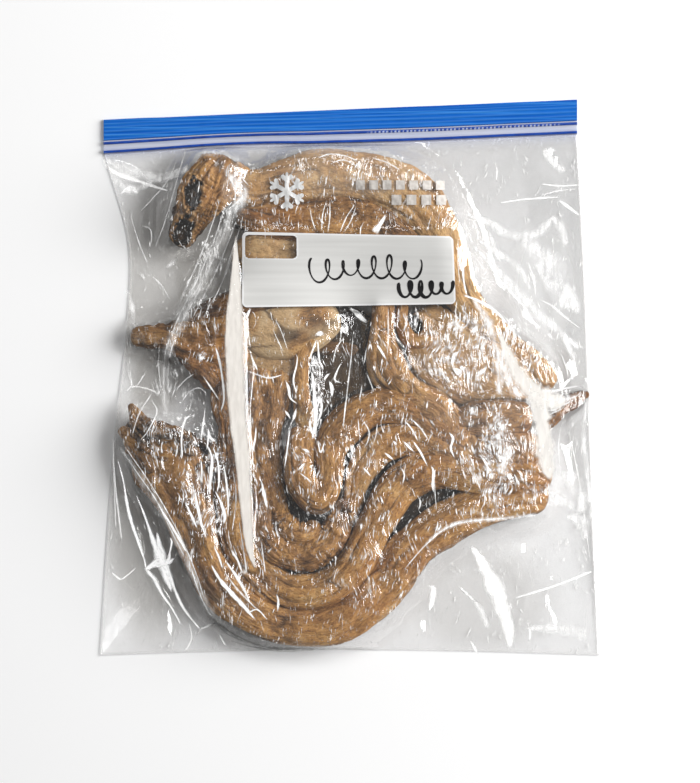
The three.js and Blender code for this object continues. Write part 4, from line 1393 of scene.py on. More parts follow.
# Painted highlights and reflections on the film's creases, one by one: kind, then points along each, mm, with
# its half width there
highlightStrokes = [
    ("band", [(-61, 77, 0.22), (-61, 62.4, 1.73), (-61.3, 41.9, 3.67), (-61.6, 25.7, 4.86),
              (-61, -1.4, 5.02), (-59.7, -23, 4.64), (-57.8, -39.2, 4.1), (-55.6, -66.2, 3.24),
              (-53.5, -90.5, 2.16), (-50.5, -102.3, 0.32)]),
    ("keen", [(-127.2, -44.6, 0.27), (-126.1, -60.8, 0.54), (-124.5, -74.2, 0.54), (-122.9, -87.8, 0.22)]),
    ("glow", [(-125, -43.5, 0.22), (-121.8, -55.4, 0.49), (-120.2, -66.2, 0.86), (-118, -77, 1.03),
              (-114.2, -87.8, 0.97), (-112.1, -94.2, 0.54), (-110.4, -99.6, 0.43), (-109.9, -103.4, 0.54)]),
    ("glow", [(-114.8, -62.9, 0.22), (-111, -72.6, 0.65), (-107.7, -82.4, 1.08), (-105, -90.5, 2.16),
              (-102.3, -96.4, 2.81), (-99.6, -100.2, 2.38), (-96.9, -106.7, 1.4), (-94.2, -114.8, 1.08),
              (-90.5, -122.9, 0.86), (-86.1, -129.3, 0.65), (-80.7, -135.8, 0.43)]),
    ("glow", [(-111, -104, 0.32), (-107.7, -102.3, 1.4), (-103.4, -99.6, 2.16), (-98, -99.1, 1.62),
              (-96.4, -93.7, 0.65), (-95.3, -88.3, 0.54), (-96.4, -85.6, 0.27)]),
    ("glow", [(-109.9, -103.4, 0.76), (-105, -109.4, 1.19), (-100.7, -117.5, 0.86), (-95.9, -124.5, 0.7),
              (-90.5, -134.2, 0.32)]),
    ("keen", [(-86.7, -132, 0.22), (-85.1, -140.1, 0.59), (-87.2, -145.5, 0.49), (-89.9, -148.2, 0.22)]),
    ("keen", [(-80.7, -135.8, 0.38), (-76.4, -134.2, 0.65), (-72.1, -132, 0.27)]),
    ("keen", [(-70.5, -137.4, 0.27), (-68.3, -142.3, 0.65), (-66.2, -145.5, 0.27)]),
    ("keen", [(-128.8, -104.5, 0.27), (-125.6, -107.7, 0.81), (-122.9, -108.8, 0.54),
              (-118.5, -105.6, 0.38), (-114.8, -102.3, 0.22)]),
    ("keen", [(-101.2, -70.5, 0.32), (-96.9, -77, 0.7), (-93.7, -82.4, 0.81), (-89.9, -88.8, 0.7),
              (-87.2, -94.2, 0.32)]),
    ("keen", [(-127.7, -33.8, 0.22), (-127.2, -50, 0.38), (-126.6, -66.2, 0.32), (-126.1, -82.4, 0.16)]),
    ("veil", [(-123.9, -36.5, 1.08), (-113.1, -52.7, 2.7), (-102.3, -68.9, 3.24), (-91.5, -87.8, 3.24),
              (-83.4, -106.7, 2.7), (-76.4, -122.9, 2.7), (-65.6, -136.4, 2.7), (-47.2, -144.5, 2.16),
              (-26.7, -147.2, 1.62)]),
    ("thin", [(-122.9, -38.1, 0.22), (-113.1, -52.1, 0.38), (-103.4, -66.2, 0.38), (-95.9, -81.3, 0.27),
              (-88.3, -96.4, 0.16)]),
    ("thin", [(-120.7, -37, 0.22), (-109.9, -52.1, 0.32), (-99.1, -69.4, 0.32), (-89.4, -87.8, 0.38),
              (-81.8, -106.1, 0.27), (-77.5, -120.2, 0.16)]),
    ("thin", [(-86.1, -98.6, 0.16), (-80.7, -114.8, 0.38), (-75.3, -126.6, 0.38), (-66.7, -137.4, 0.32),
              (-57, -141.8, 0.16)]),
    ("thin", [(-82.9, -109.4, 0.16), (-78, -121.2, 0.32), (-71, -132, 0.32), (-59.1, -139.6, 0.32),
              (-47.2, -144.5, 0.27), (-32.1, -147.2, 0.16)]),
    ("thin", [(-64.5, -141.8, 0.16), (-52.7, -145, 0.38), (-37.5, -147.7, 0.38), (-18.6, -147.2, 0.16)]),
    ("keen", [(-133.1, 119.6, 0.32), (-131, 114.2, 1.08), (-125, 109.9, 1.4), (-114.2, 106.1, 1.08),
              (-103.4, 102.3, 0.76), (-96.9, 100.2, 0.22)]),
    ("soft", [(-129.3, 111, 1.08), (-122.9, 103.4, 2.7), (-117.5, 101.2, 3.24), (-113.1, 102.3, 2.16),
              (-102.3, 106.7, 1.62), (-91.5, 107.7, 1.08)]),
    ("keen", [(-123.9, 98.6, 0.27), (-120.7, 101.2, 1.4), (-116.9, 101.8, 1.4), (-113.7, 98.6, 0.27)]),
    ("soft", [(-131.5, 117.5, 1.62), (-118.5, 111, 3.78), (-102.3, 107.7, 3.78), (-86.1, 112.1, 2.7)]),
    ("thin", [(-88.3, 122.9, 0.27), (-92.1, 106.7, 0.43), (-95.9, 93.2, 0.32), (-100.2, 80.7, 0.27),
              (-105, 69.9, 0.16)]),
    ("thin", [(-92.6, 117.5, 0.22), (-98, 105.6, 0.32), (-106.7, 95.9, 0.32), (-113.1, 89.4, 0.16)]),
    ("thin", [(-112.6, 81.8, 0.22), (-107.7, 80.2, 0.49), (-106.7, 75.3, 0.49), (-107.7, 69.4, 0.22)]),
    ("thin", [(-118, 87.2, 0.16), (-114.8, 76.4, 0.32), (-112.1, 68.9, 0.32), (-108.8, 61.3, 0.16)]),
    ("soft", [(-99.1, 59.1, 0.54), (-94.8, 62.4, 1.62), (-92.6, 65.6, 0.54)]),
    ("thin", [(-106.7, 54.8, 0.16), (-101.2, 49.4, 0.32), (-96.9, 41.9, 0.16)]),
    ("soft", [(-120.7, 47.2, 1.08), (-117.5, 39.2, 1.62), (-116.4, 28.4, 1.08)]),
    ("veil", [(-61.3, 93.2, 3.24), (-68.9, 74.2, 4.86), (-78, 55.4, 5.4), (-86.1, 39.2, 4.86),
              (-92.6, 24.6, 3.78)]),
    ("faint", [(-65.6, 93.7, 0.27), (-72.6, 74.2, 0.49), (-80.7, 55.4, 0.49), (-87.2, 41.9, 0.49),
               (-92.6, 30, 0.43), (-96.9, 19.2, 0.22)]),
    ("faint", [(-63.5, 89.4, 0.22), (-69.9, 71.6, 0.43), (-76.4, 57, 0.49), (-82.9, 42.9, 0.49),
               (-89.4, 30, 0.22)]),
    ("faint", [(-60.8, 84, 0.22), (-66.7, 68.9, 0.38), (-72.6, 55.4, 0.38), (-78.6, 42.9, 0.38),
               (-84, 32.1, 0.16)]),
    ("faint", [(-68.9, 95.9, 0.22), (-76.4, 74.2, 0.38), (-82.9, 59.1, 0.38), (-88.3, 47.2, 0.38),
               (-93.7, 34.3, 0.22)]),
    ("faint", [(-58.6, 80.7, 0.22), (-62.9, 67.8, 0.38), (-67.8, 52.7, 0.38), (-73.7, 38.6, 0.16)]),
    ("faint", [(-66.7, 84, 0.22), (-73.2, 68.9, 0.38), (-78.6, 54.8, 0.43), (-85.1, 40.8, 0.38),
               (-91.5, 25.7, 0.22)]),
    ("faint", [(-60.2, 74.2, 0.22), (-64.5, 60.2, 0.32), (-70.5, 46.2, 0.32), (-76.4, 36.5, 0.16)]),
    ("faint", [(-71, 88.3, 0.22), (-78, 71, 0.32), (-85.1, 54.8, 0.32), (-91.5, 41.9, 0.16)]),
    ("faint", [(-79.7, 63.5, 0.22), (-81.8, 53.7, 0.65), (-85.1, 47.2, 0.43), (-88.3, 41.9, 0.22)]),
    ("faint", [(-95.9, 22.4, 0.27), (-99.1, 12.2, 0.49), (-100.2, -1.4, 0.49), (-99.6, -15.4, 0.22)]),
    ("faint", [(-91.5, 24.6, 0.22), (-95.9, 13.8, 0.43), (-98, 0.8, 0.43), (-96.9, -10, 0.22)]),
    ("veil", [(-93.7, 25.7, 3.24), (-98, 12.2, 3.78), (-99.6, -4.1, 3.78), (-99.1, -20.2, 2.16)]),
    ("thin", [(-101.8, 17.6, 0.16), (-102.9, 6.8, 0.32), (-101.8, -6.8, 0.16)]),
    ("thin", [(-106.1, -7.8, 0.22), (-109.4, -13.2, 0.49), (-113.1, -20.2, 0.49), (-116.4, -30.5, 0.22)]),
    ("thin", [(-106.7, -12.2, 0.22), (-103.4, -18.6, 0.49), (-107.7, -28.4, 0.43), (-112.1, -33.8, 0.16)]),
    ("keen", [(-84.5, -20.2, 0.22), (-88.3, -23, 0.54), (-89.9, -32.7, 0.54), (-89.4, -43.5, 0.22)]),
    ("keen", [(-77.5, -16.5, 0.22), (-78.6, -25.7, 0.43), (-79.7, -33.8, 0.22)]),
    ("keen", [(-75.9, -26.7, 0.22), (-74.8, -32.1, 0.76), (-71, -34.8, 0.32)]),
    ("keen", [(-75.3, -27.3, 0.22), (-75.9, -34.8, 0.54), (-76.4, -39.2, 0.16)]),
    ("thin", [(-119.6, 3, 0.16), (-117.5, -3.5, 0.43), (-120.7, -7.8, 0.16)]),
    ("thin", [(-115.8, -5.7, 0.16), (-112.6, -1.4, 0.38), (-109.9, 3, 0.16)]),
    ("thin", [(-93.7, -6.8, 0.16), (-88.3, -1.4, 0.43), (-83.4, 1.9, 0.22)]),
    ("thin", [(-90.5, -13.2, 0.16), (-86.1, -7.8, 0.43), (-80.7, -5.7, 0.43), (-76.4, -8.9, 0.16)]),
    ("keen", [(-72.1, 16.5, 0.16), (-70.5, 12.2, 0.65), (-68.3, 1.4, 0.65), (-67.2, -11.1, 0.7),
              (-68.9, -18.6, 0.22)]),
    ("thin", [(-78.6, 0.8, 0.16), (-74.2, -5.7, 0.54), (-69.9, -12.2, 0.27)]),
    ("keen", [(-75.9, -36.5, 0.22), (-73.7, -43.5, 0.81), (-74.2, -52.7, 0.97), (-75.3, -62.9, 0.32)]),
    ("keen", [(-73.2, -37, 0.22), (-70.5, -45.6, 0.54), (-69.9, -55.4, 0.54), (-71, -61.8, 0.22)]),
    ("keen", [(-79.7, -43.5, 0.16), (-79.1, -50, 0.49), (-79.1, -57.5, 0.22)]),
    ("keen", [(-67.8, -45.6, 0.16), (-66.2, -54.3, 0.54), (-65.1, -65.1, 0.59), (-65.1, -74.8, 0.22)]),
    ("keen", [(-72.1, -60.8, 0.16), (-68.9, -67.2, 0.81), (-66.7, -74.8, 0.86), (-67.8, -79.1, 0.27)]),
    ("keen", [(-82.9, -60.8, 0.22), (-81.3, -69.4, 0.81), (-79.1, -79.1, 0.76), (-76.4, -86.7, 0.27)]),
    ("keen", [(-88.3, -66.2, 0.22), (-85.1, -73.2, 0.81), (-81.3, -81.3, 0.32)]),
    ("thin", [(-62.4, -50, 0.22), (-60.8, -60.8, 0.49), (-61.3, -71.6, 0.43), (-62.9, -82.4, 0.22)]),
    ("keen", [(-74.2, -100.2, 0.27), (-69.4, -108.3, 1.03), (-63.5, -115.3, 1.3), (-57, -122.3, 1.13),
              (-50.5, -129.9, 0.32)]),
    ("keen", [(-66.2, -98.6, 0.27), (-61.3, -105.6, 0.92), (-56.4, -113.7, 0.76), (-53.2, -121.2, 0.27)]),
    ("keen", [(-72.6, -90.5, 0.22), (-69.9, -96.4, 0.7), (-67.8, -102.9, 0.27)]),
    ("keen", [(-63.5, -92.1, 0.22), (-59.7, -98.6, 0.7), (-57.5, -105, 0.22)]),
    ("thin", [(-67.2, -104, 0.22), (-60.8, -112.6, 0.54), (-53.7, -120.2, 0.54), (-47.2, -126.6, 0.22)]),
    ("keen", [(-54.8, -126.6, 0.22), (-49.4, -124.5, 0.49), (-44, -129.9, 0.22)]),
    ("thin", [(-47.2, -87.8, 0.22), (-46.2, -96.4, 0.54), (-45.1, -105, 0.22)]),
    ("thin", [(-59.1, -77, 0.22), (-57.5, -87.8, 0.49), (-55.9, -98.6, 0.49), (-54.8, -106.7, 0.22)]),
    ("keen", [(-39.2, -115.8, 0.22), (-38.1, -120.2, 0.76), (-38.6, -125.6, 0.27)]),
    ("keen", [(-47.2, -55.4, 0.22), (-45.6, -63.5, 1.03), (-44, -70.5, 0.32)]),
    ("thin", [(-53.7, -50, 0.22), (-50.5, -54.3, 0.49), (-48.9, -58.6, 0.22)]),
    ("keen", [(-50, -26.2, 0.16), (-50.5, -32.7, 0.54), (-51.6, -38.1, 0.65), (-50.5, -40.2, 0.22)]),
    ("keen", [(-53.2, 13.8, 0.16), (-51.6, 8.4, 0.54), (-48.9, 3, 0.22)]),
    ("thin", [(-41.3, 26.7, 0.16), (-38.6, 20.2, 0.32), (-35.4, 13.8, 0.16)]),
    ("thin", [(-39.7, 31.1, 0.16), (-36.5, 24.6, 0.32), (-33.2, 14.9, 0.16)]),
    ("keen", [(-55.4, 30, 0.16), (-54.3, 34.3, 0.7), (-52.7, 37, 0.22)]),
    ("thin", [(-54.8, 3.5, 0.27), (-49.4, 1.4, 0.54), (-42.9, -0.3, 0.54), (-35.9, 1.4, 0.27)]),
    ("keen", [(-27.8, 11.6, 0.16), (-28.4, 6.2, 0.49), (-30, -1.4, 0.49), (-28.4, -8.9, 0.22)]),
    ("keen", [(-34.3, -1.4, 0.22), (-32.7, -5.7, 0.81), (-31.6, -11.1, 0.65), (-27.8, -14.3, 0.22)]),
    ("keen", [(-34.8, -17.6, 0.22), (-33.2, -19.7, 0.7), (-31.6, -22.4, 0.22)]),
    ("keen", [(-28.4, -16.5, 0.22), (-29.4, -20.2, 0.86), (-30.5, -24, 0.22)]),
    ("keen", [(-32.1, -27.3, 0.16), (-32.7, -33.8, 0.43), (-33.8, -41.9, 0.49), (-34.8, -48.9, 0.22)]),
    ("keen", [(-21.9, 8.4, 0.22), (-19.2, 15.9, 0.54), (-17.6, 20.2, 0.27)]),
    ("keen", [(-18.6, 22.4, 0.43), (-15.9, 23.5, 1.4), (-13.2, 23, 0.32)]),
    ("keen", [(-17, 20.2, 0.27), (-16.5, 12.2, 0.54), (-15.9, 6.2, 0.27)]),
    ("keen", [(-20.2, 3, 0.43), (-19.2, -4.1, 0.86), (-18.6, -12.2, 1.08), (-18.1, -20.2, 1.3),
              (-18.6, -27.3, 1.08), (-19.7, -32.7, 0.32)]),
    ("keen", [(-17, -10, 0.27), (-14.9, -14.3, 0.81), (-15.4, -19.7, 0.54), (-17.6, -25.1, 0.22)]),
    ("keen", [(-21.3, -21.9, 0.22), (-20.8, -27.3, 0.81), (-18.6, -32.7, 0.65)]),
    ("keen", [(-17, -33.8, 0.22), (-15.4, -40.2, 0.54), (-13.2, -34.3, 0.22)]),
    ("keen", [(0.3, 37, 0.65), (3.5, 34.8, 1.4), (6.8, 31.6, 1.4), (9.5, 29.4, 0.76)]),
    ("keen", [(-1.4, 28.9, 0.32), (-1.4, 25.7, 0.86), (-1.9, 23, 0.27)]),
    ("keen", [(-4.6, 22.4, 0.22), (-4.1, 25.7, 0.76), (-3, 28.4, 0.22)]),
    ("thin", [(-3, 21.9, 0.16), (-7.3, 14.9, 0.49), (-8.9, 7.3, 0.27)]),
    ("thin", [(1.9, 22.4, 0.16), (0.8, 9.5, 0.43), (-0.8, -4.1, 0.43), (-2.4, -17.6, 0.43),
              (-3.5, -28.4, 0.16)]),
    ("keen", [(-4.1, 8.4, 0.16), (-6.8, 3, 0.49), (-7.8, -1.4, 0.43), (-4.1, -3, 0.22)]),
    ("keen", [(-11.1, -1.4, 0.16), (-9.5, -5.7, 1.03), (-9.5, -11.1, 0.27)]),
    ("keen", [(-14.3, -2.4, 0.22), (-12.2, 0.8, 0.7), (-10, 2.4, 0.22)]),
    ("keen", [(-12.7, -11.1, 0.16), (-11.6, -13.2, 0.54), (-10.5, -14.9, 0.16)]),
    ("thin", [(6.8, -3.5, 0.16), (6.2, -7.8, 0.49), (5.1, -13.2, 0.16)]),
    ("thin", [(8.9, 3, 0.16), (11.1, -2.4, 0.54), (13.2, -7.8, 0.22)]),
    ("thin", [(20.8, 37, 0.16), (20.8, 28.4, 0.49), (20.8, 19.2, 0.49), (20.2, 11.6, 0.16)]),
    ("keen", [(14.3, 18.1, 0.22), (16.5, 14.9, 0.86), (19.7, 9.5, 0.32)]),
    ("keen", [(12.2, 13.8, 0.16), (11.1, 17.6, 0.49), (10, 13.8, 0.16)]),
    ("thin", [(8.9, 15.9, 0.16), (8.4, 10.5, 0.43), (7.3, 6.2, 0.16)]),
    ("thin", [(-2.4, -29.4, 0.16), (-0.8, -32.7, 0.43), (1.4, -34.8, 0.16)]),
    ("thin", [(7.3, -23, 0.16), (10.5, -28.9, 0.54), (10, -33.8, 0.43), (7.8, -38.1, 0.22)]),
    ("thin", [(4.6, -21.9, 0.16), (5.1, -28.4, 0.43), (5.7, -34.8, 0.16)]),
    ("thin", [(14.9, -24.6, 0.16), (14.3, -30.5, 0.43), (12.7, -35.9, 0.16)]),
    ("keen", [(-25.7, -38.1, 0.22), (-23, -39.2, 0.81), (-20.8, -40.8, 0.22)]),
    ("keen", [(0.3, -35.4, 0.16), (1.4, -38.6, 0.81), (1.9, -42.9, 0.22)]),
    ("keen", [(23, -33.8, 0.16), (24.6, -35.4, 0.76), (25.1, -37, 0.16)]),
    ("keen", [(18.6, -40.2, 0.22), (21.3, -42.4, 0.7), (24, -44.6, 0.22)]),
    ("keen", [(28.4, -33.8, 0.22), (31.6, -37, 0.7), (34.8, -40.2, 0.22)]),
    ("keen", [(6.8, -47.8, 0.16), (8.9, -50, 0.65), (11.6, -53.2, 0.22)]),
    ("thin", [(-26.7, -51, 0.22), (-22.4, -54.3, 0.54), (-19.2, -57.5, 0.22)]),
    ("keen", [(-23.5, -45.6, 0.16), (-25.1, -47.2, 0.65), (-27.8, -50, 0.16)]),
    ("thin", [(29.4, -23, 0.22), (33.8, -28.4, 0.59), (37, -34.8, 0.22)]),
    ("thin", [(32.7, -21.9, 0.22), (38.1, -27.3, 0.59), (42.4, -33.8, 0.22)]),
    ("keen", [(33.8, -33.8, 0.22), (38.1, -40.2, 0.7), (41.9, -47.8, 0.22)]),
    ("keen", [(43.5, -46.7, 0.16), (45.1, -51, 0.86), (44.6, -57.5, 0.65), (45.1, -61.8, 0.22)]),
    ("thin", [(44.6, -46.7, 0.16), (45.6, -58.1, 0.38), (46.7, -71.6, 0.16)]),
    ("keen", [(53.2, -29.4, 0.22), (55.4, -32.7, 0.86), (54.3, -38.1, 0.54), (56.4, -43.5, 0.22)]),
    ("thin", [(66.2, -50, 0.16), (68.3, -55.4, 0.54), (70.5, -60.8, 0.16)]),
    ("thin", [(27.3, -47.8, 0.16), (29.4, -52.1, 0.54), (28.4, -57.5, 0.16)]),
    ("thin", [(36.5, -62.9, 0.16), (38.1, -67.2, 0.54), (37, -71.6, 0.16)]),
    ("keen", [(61.3, 44, 0.43), (67.2, 41.9, 0.86), (73.7, 38.6, 1.03), (79.7, 34.3, 0.81),
              (84.5, 28.9, 0.43)]),
    ("sheen", [(80.5, 23.5, 1.2), (84.5, 13.8, 3.0), (88.8, 4.6, 4.4), (94.8, -3.5, 5.6),
               (101.8, -9.6, 6.8), (109.4, -12.8, 6.2), (116.5, -12.6, 3.4)]),
    ("sheen", [(97, -8, 3.0), (101.6, -15, 6.6), (103.4, -25.7, 5.8), (104.6, -34, 5.2), (104.8, -42, 5.6),
               (106.2, -49, 4.2), (107.6, -55, 1.4)]),
    ("thin", [(57.6, 41, 0.3), (57, 35, 0.45), (57.6, 29.2, 0.5), (60.4, 26.4, 0.5), (63.2, 28.8, 0.5),
              (63.2, 33.4, 0.45), (61.2, 36, 0.4), (62, 41, 0.3)]),
    ("glow", [(-103.6, -83, 0.5), (-102.4, -91, 2.2), (-100.8, -99.5, 3.2), (-98.6, -107.5, 2.2),
              (-95.8, -116, 0.6)]),
    ("glow", [(-109.5, -102, 0.3), (-104.5, -101, 1.5), (-98, -100, 1.5), (-93.5, -96.5, 0.3)]),
    ("soft", [(101.8, -14.3, 3.24), (109.4, -13.2, 3.78), (116.9, -11.6, 2.97), (122.3, -10, 1.62)]),
    ("thin", [(102.9, -6.8, 0.43), (109.9, -7.3, 0.7), (116.9, -5.7, 0.59), (124.5, -4.6, 0.22)]),
    ("thin", [(104, -11.1, 0.27), (111.5, -12.7, 0.54), (119.1, -11.1, 0.49), (124.5, -8.9, 0.22)]),
    ("thin", [(103.4, -17.6, 0.27), (109.4, -17.6, 0.54), (114.8, -14.9, 0.43), (121.2, -12.2, 0.22)]),
    ("thin", [(106.1, -20.8, 0.22), (110.4, -18.6, 0.43), (115.3, -16.5, 0.22)]),
    ("soft", [(81.3, 14.9, 1.62), (83.4, 5.1, 2.7), (87.8, -5.7, 3.24), (93.2, -11.1, 2.16)]),
    ("soft", [(66.2, 41.9, 1.08), (73.7, 31.1, 2.7), (78, 17.6, 3.24), (80.2, 3, 3.24),
              (80.2, -9.5, 2.16)]),
    ("keen", [(62.9, 78.6, 0.22), (61.8, 71, 0.65), (60.8, 62.4, 0.76), (61.3, 51.6, 0.59),
              (62.9, 44, 0.32)]),
    ("thin", [(58.6, 74.2, 0.16), (58.1, 62.4, 0.38), (59.1, 50, 0.27)]),
    ("soft", [(64, 87.2, 0.81), (73.7, 84.5, 2.43), (85.6, 77.5, 2.97), (97.5, 76.4, 3.24),
              (106.1, 81.8, 3.24), (110.4, 87.2, 1.08)]),
    ("soft", [(66.2, 71, 1.08), (74.8, 62.4, 2.7), (85.6, 51.6, 3.24), (95.3, 41.9, 3.24),
              (104, 32.1, 3.24), (113.7, 24.6, 2.7), (124.5, 15.4, 1.62)]),
    ("soft", [(92.1, 74.2, 3.24), (102.9, 66.7, 6.48), (111.5, 58.1, 7.02), (115.8, 48.3, 5.4),
              (121.2, 39.7, 3.78), (123.9, 34.3, 1.62)]),
    ("soft", [(100.7, 62.4, 2.16), (107.2, 51.6, 3.78), (113.7, 41.9, 3.78), (120.2, 37.5, 2.16)]),
    ("soft", [(69.4, 74.2, 1.08), (79.1, 67.8, 2.16), (87.8, 62.4, 2.16), (94.2, 54.8, 2.16),
              (97.5, 47.2, 1.08)]),
    ("keen", [(81.3, 94.2, 0.22), (92.1, 95.9, 0.49), (104, 96.9, 0.59), (113.7, 97.5, 0.22)]),
    ("keen", [(103.4, 104.5, 0.22), (113.7, 103.4, 0.49), (124.5, 104, 0.22)]),
    ("thin", [(102.9, 98, 0.22), (112.6, 100.7, 0.43), (123.4, 101.8, 0.16)]),
    ("keen", [(112.6, 95.9, 0.27), (118, 92.1, 0.97), (124.5, 87.2, 0.27)]),
    ("soft", [(109.4, 87.2, 1.62), (114.8, 79.7, 2.7), (116.9, 71, 1.62)]),
    ("soft", [(113.7, 25.7, 1.08), (118, 17, 2.16), (121.8, 8.4, 1.08)]),
    ("thin", [(120.7, 13.8, 0.16), (121.8, 5.1, 0.49), (119.6, -3.5, 0.22)]),
    ("thin", [(113.7, 13.8, 0.16), (116.9, 5.1, 0.43), (118, -1.4, 0.16)]),
    ("thin", [(102.9, 41.9, 0.22), (109.4, 38.6, 0.65), (116.9, 32.1, 0.65), (125.6, 25.7, 0.22)]),
    ("thin", [(73.7, 62.4, 0.22), (81.3, 52.7, 0.76), (91, 41.9, 0.86), (99.6, 31.1, 0.27)]),
    ("thin", [(96.4, 62.4, 0.22), (99.6, 52.7, 0.65), (100.7, 42.9, 0.22)]),
    ("soft", [(74.8, 80.7, 0.54), (78, 71, 1.89), (81.3, 62.4, 1.08)]),
    ("soft", [(104, 122.9, 1.62), (111.5, 114.2, 2.7), (116.9, 111, 1.62)]),
    ("thin", [(78, 117.5, 0.16), (79.7, 111, 0.54), (79.1, 105.6, 0.16)]),
    ("patch", [(65.1, -90.5, 0.43), (69.9, -96.9, 2.48), (74.8, -105.6, 4.32), (79.7, -115.8, 5.13),
               (83.4, -126.6, 4.59), (86.1, -137.4, 3.51), (86.7, -146.1, 0.81)]),
    ("patch", [(42.4, -112.6, 0.32), (45.1, -113.7, 1.62), (44.6, -121.2, 1.62), (42.9, -126.1, 0.43)]),
    ("thin", [(59.1, -112.6, 0.22), (63.5, -116.9, 0.86), (68.3, -121.2, 0.27)]),
    ("soft", [(67.2, -120.2, 1.08), (71.6, -126.6, 2.16), (74.8, -135.3, 1.62)]),
    ("keen", [(65.1, -141.8, 0.27), (67.2, -145.5, 0.97), (69.4, -149.9, 0.32)]),
    ("keen", [(89.4, -119.1, 0.27), (100.2, -115.8, 0.65), (113.7, -111.5, 0.65), (127.2, -106.1, 0.76),
              (132, -104.5, 0.32)]),
    ("soft", [(113.7, -51, 2.16), (120.2, -55.4, 4.86), (124.5, -61.8, 5.94), (125.6, -69.4, 3.78),
              (123.4, -73.7, 1.62)]),
    ("soft", [(107.2, -61.8, 1.08), (111.5, -65.1, 2.7), (116.9, -68.3, 2.7), (122.3, -70.5, 1.62)]),
    ("soft", [(116.9, -74.8, 1.08), (124.5, -77, 3.78), (127.7, -83.4, 3.24), (125.6, -87.8, 1.08)]),
    ("soft", [(94.2, -135.3, 1.08), (105.6, -135.3, 2.7), (119.1, -136.4, 4.32), (128.8, -139.6, 3.24)]),
    ("thin", [(95.9, -131, 0.22), (97.5, -137.4, 0.86), (96.9, -142.8, 0.27)]),
    ("thin", [(113.7, -25.7, 0.16), (112.6, -36.5, 0.43), (113.1, -47.2, 0.16)]),
    ("thin", [(118, -28.4, 0.16), (121.8, -44.6, 0.38), (125.6, -66.2, 0.38), (129.9, -98.6, 0.16)]),
    ("soft", [(127.7, -12.2, 1.08), (126.6, -33.8, 1.62), (128.8, -55.4, 1.62), (131, -77, 1.62)]),
    ("soft", [(38.1, -92.1, 0.54), (48.9, -82.4, 1.4), (60.8, -77.5, 1.62), (81.3, -75.9, 1.62),
              (100.7, -73.7, 1.08)]),
    ("thin", [(29.4, -102.9, 0.16), (40.2, -90.5, 0.49), (52.1, -80.7, 0.54), (65.1, -77, 0.43),
              (86.7, -75.3, 0.16)]),
    ("thin", [(-21.3, 91.5, 0.16), (-20.2, 85.1, 0.43), (-18.1, 78.6, 0.38)]),
    ("thin", [(-12.2, 94.8, 0.16), (-14.3, 87.2, 0.38), (-14.9, 78.6, 0.32)]),
    ("thin", [(-10.5, 94.8, 0.16), (-10.5, 86.1, 0.38), (-11.6, 77.5, 0.32)]),
    ("thin", [(3, 92.6, 0.16), (-1.4, 86.1, 0.38), (-5.1, 77.5, 0.32)]),
    ("thin", [(3.5, 91.5, 0.16), (0.8, 84, 0.38), (-3, 77.5, 0.27)]),
    ("patch", [(19.7, 87.2, 0.32), (17, 82.9, 1.4), (13.2, 77.5, 2.27)]),
    ("soft", [(-66.7, 111, 1.08), (-61.3, 104.5, 3.24), (-57, 98, 3.78), (-60.2, 91.5, 2.7),
              (-65.6, 87.2, 1.08)]),
    ("thin", [(-63.5, 114.2, 0.22), (-59.1, 108.8, 0.54), (-53.7, 102.3, 0.22)]),
    ("thin", [(-65.6, 108.8, 0.22), (-61.3, 101.2, 0.54), (-61.3, 92.6, 0.22)]),
    ("thin", [(-55.9, 98, 0.22), (-60.2, 93.7, 0.49), (-65.6, 89.4, 0.22)]),
    ("thin", [(-17, 117.5, 0.22), (-10.5, 119.6, 0.54), (-1.9, 118.5, 0.54), (5.7, 115.3, 0.22)]),
    ("thin", [(-10.5, 114.2, 0.22), (-3, 116.4, 0.49), (5.7, 112.1, 0.22)]),
    ("thin", [(12.2, 117.5, 0.16), (19.7, 115.3, 0.49), (27.3, 111, 0.22)]),
]
# Each kind of painted highlight: how white, how much of the half width fades out, points across, and how
# dull: below 0 it glows
highlightKinds = {
    "keen": (0.95, 0.35, 4, 0.0),
    "thin": (0.75, 0.8, 4, 0.0),
    "faint": (0.4, 0.9, 4, 0.0),
    "soft": (0.5, 1.0, 8, 0.0),
    "veil": (0.24, 1.0, 8, 0.3),
    "band": (0.9, 0.3, 10, 1.0),
    "patch": (0.9, 0.6, 10, 0.0),
    "sheen": (0.86, 0.6, 12, 0.8),
    "glow": (0.95, 0.7, 10, -1.3),
}
highlightStrip = {"step": 0.7, "narrowest": 0.12, "lift": 0.06, "thickness": 0.02, "endFade": 2.5}


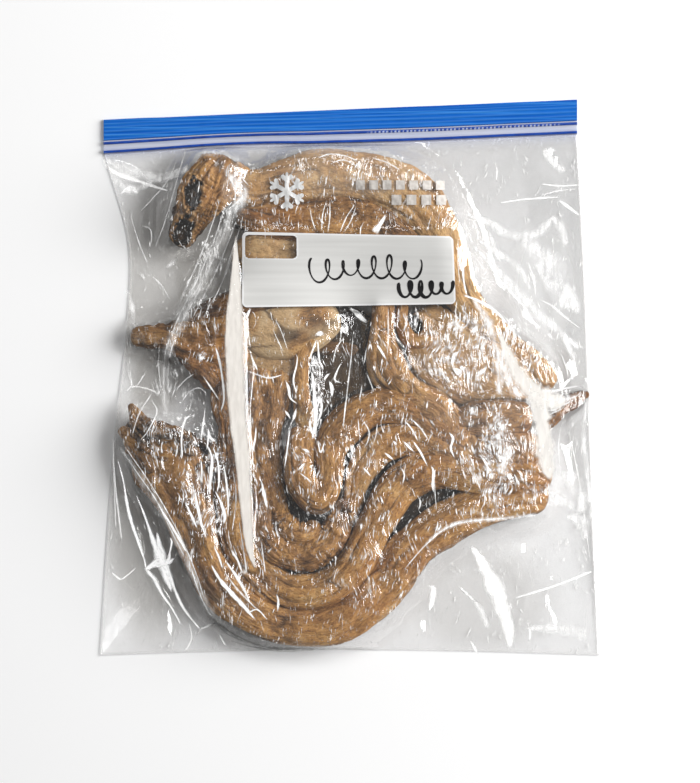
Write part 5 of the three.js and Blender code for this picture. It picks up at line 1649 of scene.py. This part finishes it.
# One strip of painted highlight, lying on the film
def makeHighlightStrip(ground, kind, rows):
    white, fading, across, dull = highlightKinds[kind]
    length = lengthOf(rows)
    line = curveThrough(rows, max(12, int(length / highlightStrip["step"])))
    strip, flat = newGrid("crease", len(line) - 1, across)
    k, side = ribbonPlaces(flat, line)
    wobble = 0.25 * softNoise(line[k, :2] / 2.4, 61) if kind != "band" else 0
    half = np.maximum(line[k, 2], highlightStrip["narrowest"]) * (1.1 + wobble)
    x, y = besideLine(line, k, side, half)
    z = filmTop(ground, x, y) + highlightStrip["lift"]
    movePoints(strip, np.column_stack([x, y, z]) * mm)
    toEnd = np.minimum(k, len(line) - 1 - k) * length / len(line)
    fade = smoothstep(1, 1 - fading, np.abs(side)) * smoothstep(0, highlightStrip["endFade"], toEnd + 0.4)
    addAttribute(strip, "white", white * fade)
    addAttribute(strip, "matte", np.full(len(k), dull))
    return strip


# All the painted highlights as one piece that lies on the film
def makeHighlightStrokes(ground):
    strips = [makeHighlightStrip(ground, kind, rows) for kind, rows in highlightStrokes]
    deselectAll()
    for strip in strips:
        strip.select_set(True)
    bpy.context.view_layer.objects.active = strips[0]
    bpy.ops.object.join()
    body = bpy.context.object
    body.name = "filmHighlights"
    applyModifier(body, "SOLIDIFY", thickness=highlightStrip["thickness"] * mm, offset=1)
    bpy.ops.object.shade_smooth()
    body.data.materials.append(highlightPaint())
    body.visible_shadow = False  # glints throw none
    putInFrame(body, "bag")


makeCamera()
skinMaterial = driedSkin()
print("fish")
bodies = [makeFish(name, stations, 100 + 7 * k) for k, (name, stations) in enumerate(fish.items())]
top = topOf(bodies)
shadeGaps(bodies, top)
print("film")
bagFilm = makeFilm(top)
print("zip")
zipPaint = {"lip_blue": lipPlastic(), "track_blue": trackPlastic(), "band_clear": bandPlastic()}
for name, strip in zipStrips.items():
    makeZipStrip(name, strip)
print("panel and note")
bpy.context.view_layer.update()
writeOnPanel = makePanel(bagFilm)
bpy.context.view_layer.update()
marker = inkPaint("markerInk")
for k, (name, pen) in enumerate(scribbles.items()):
    makeInk(name, penLine(pen, 80 + k), pen["width"], writeOnPanel, marker,
            "write_on_panel", ink["lift"])
print("highlightStrokes")
makeHighlightStrokes(bagFilm)
print("print")
makePrint(bagFilm)
print("studio")
makeStudio()
bpy.context.scene.view_settings.view_transform = "Standard"
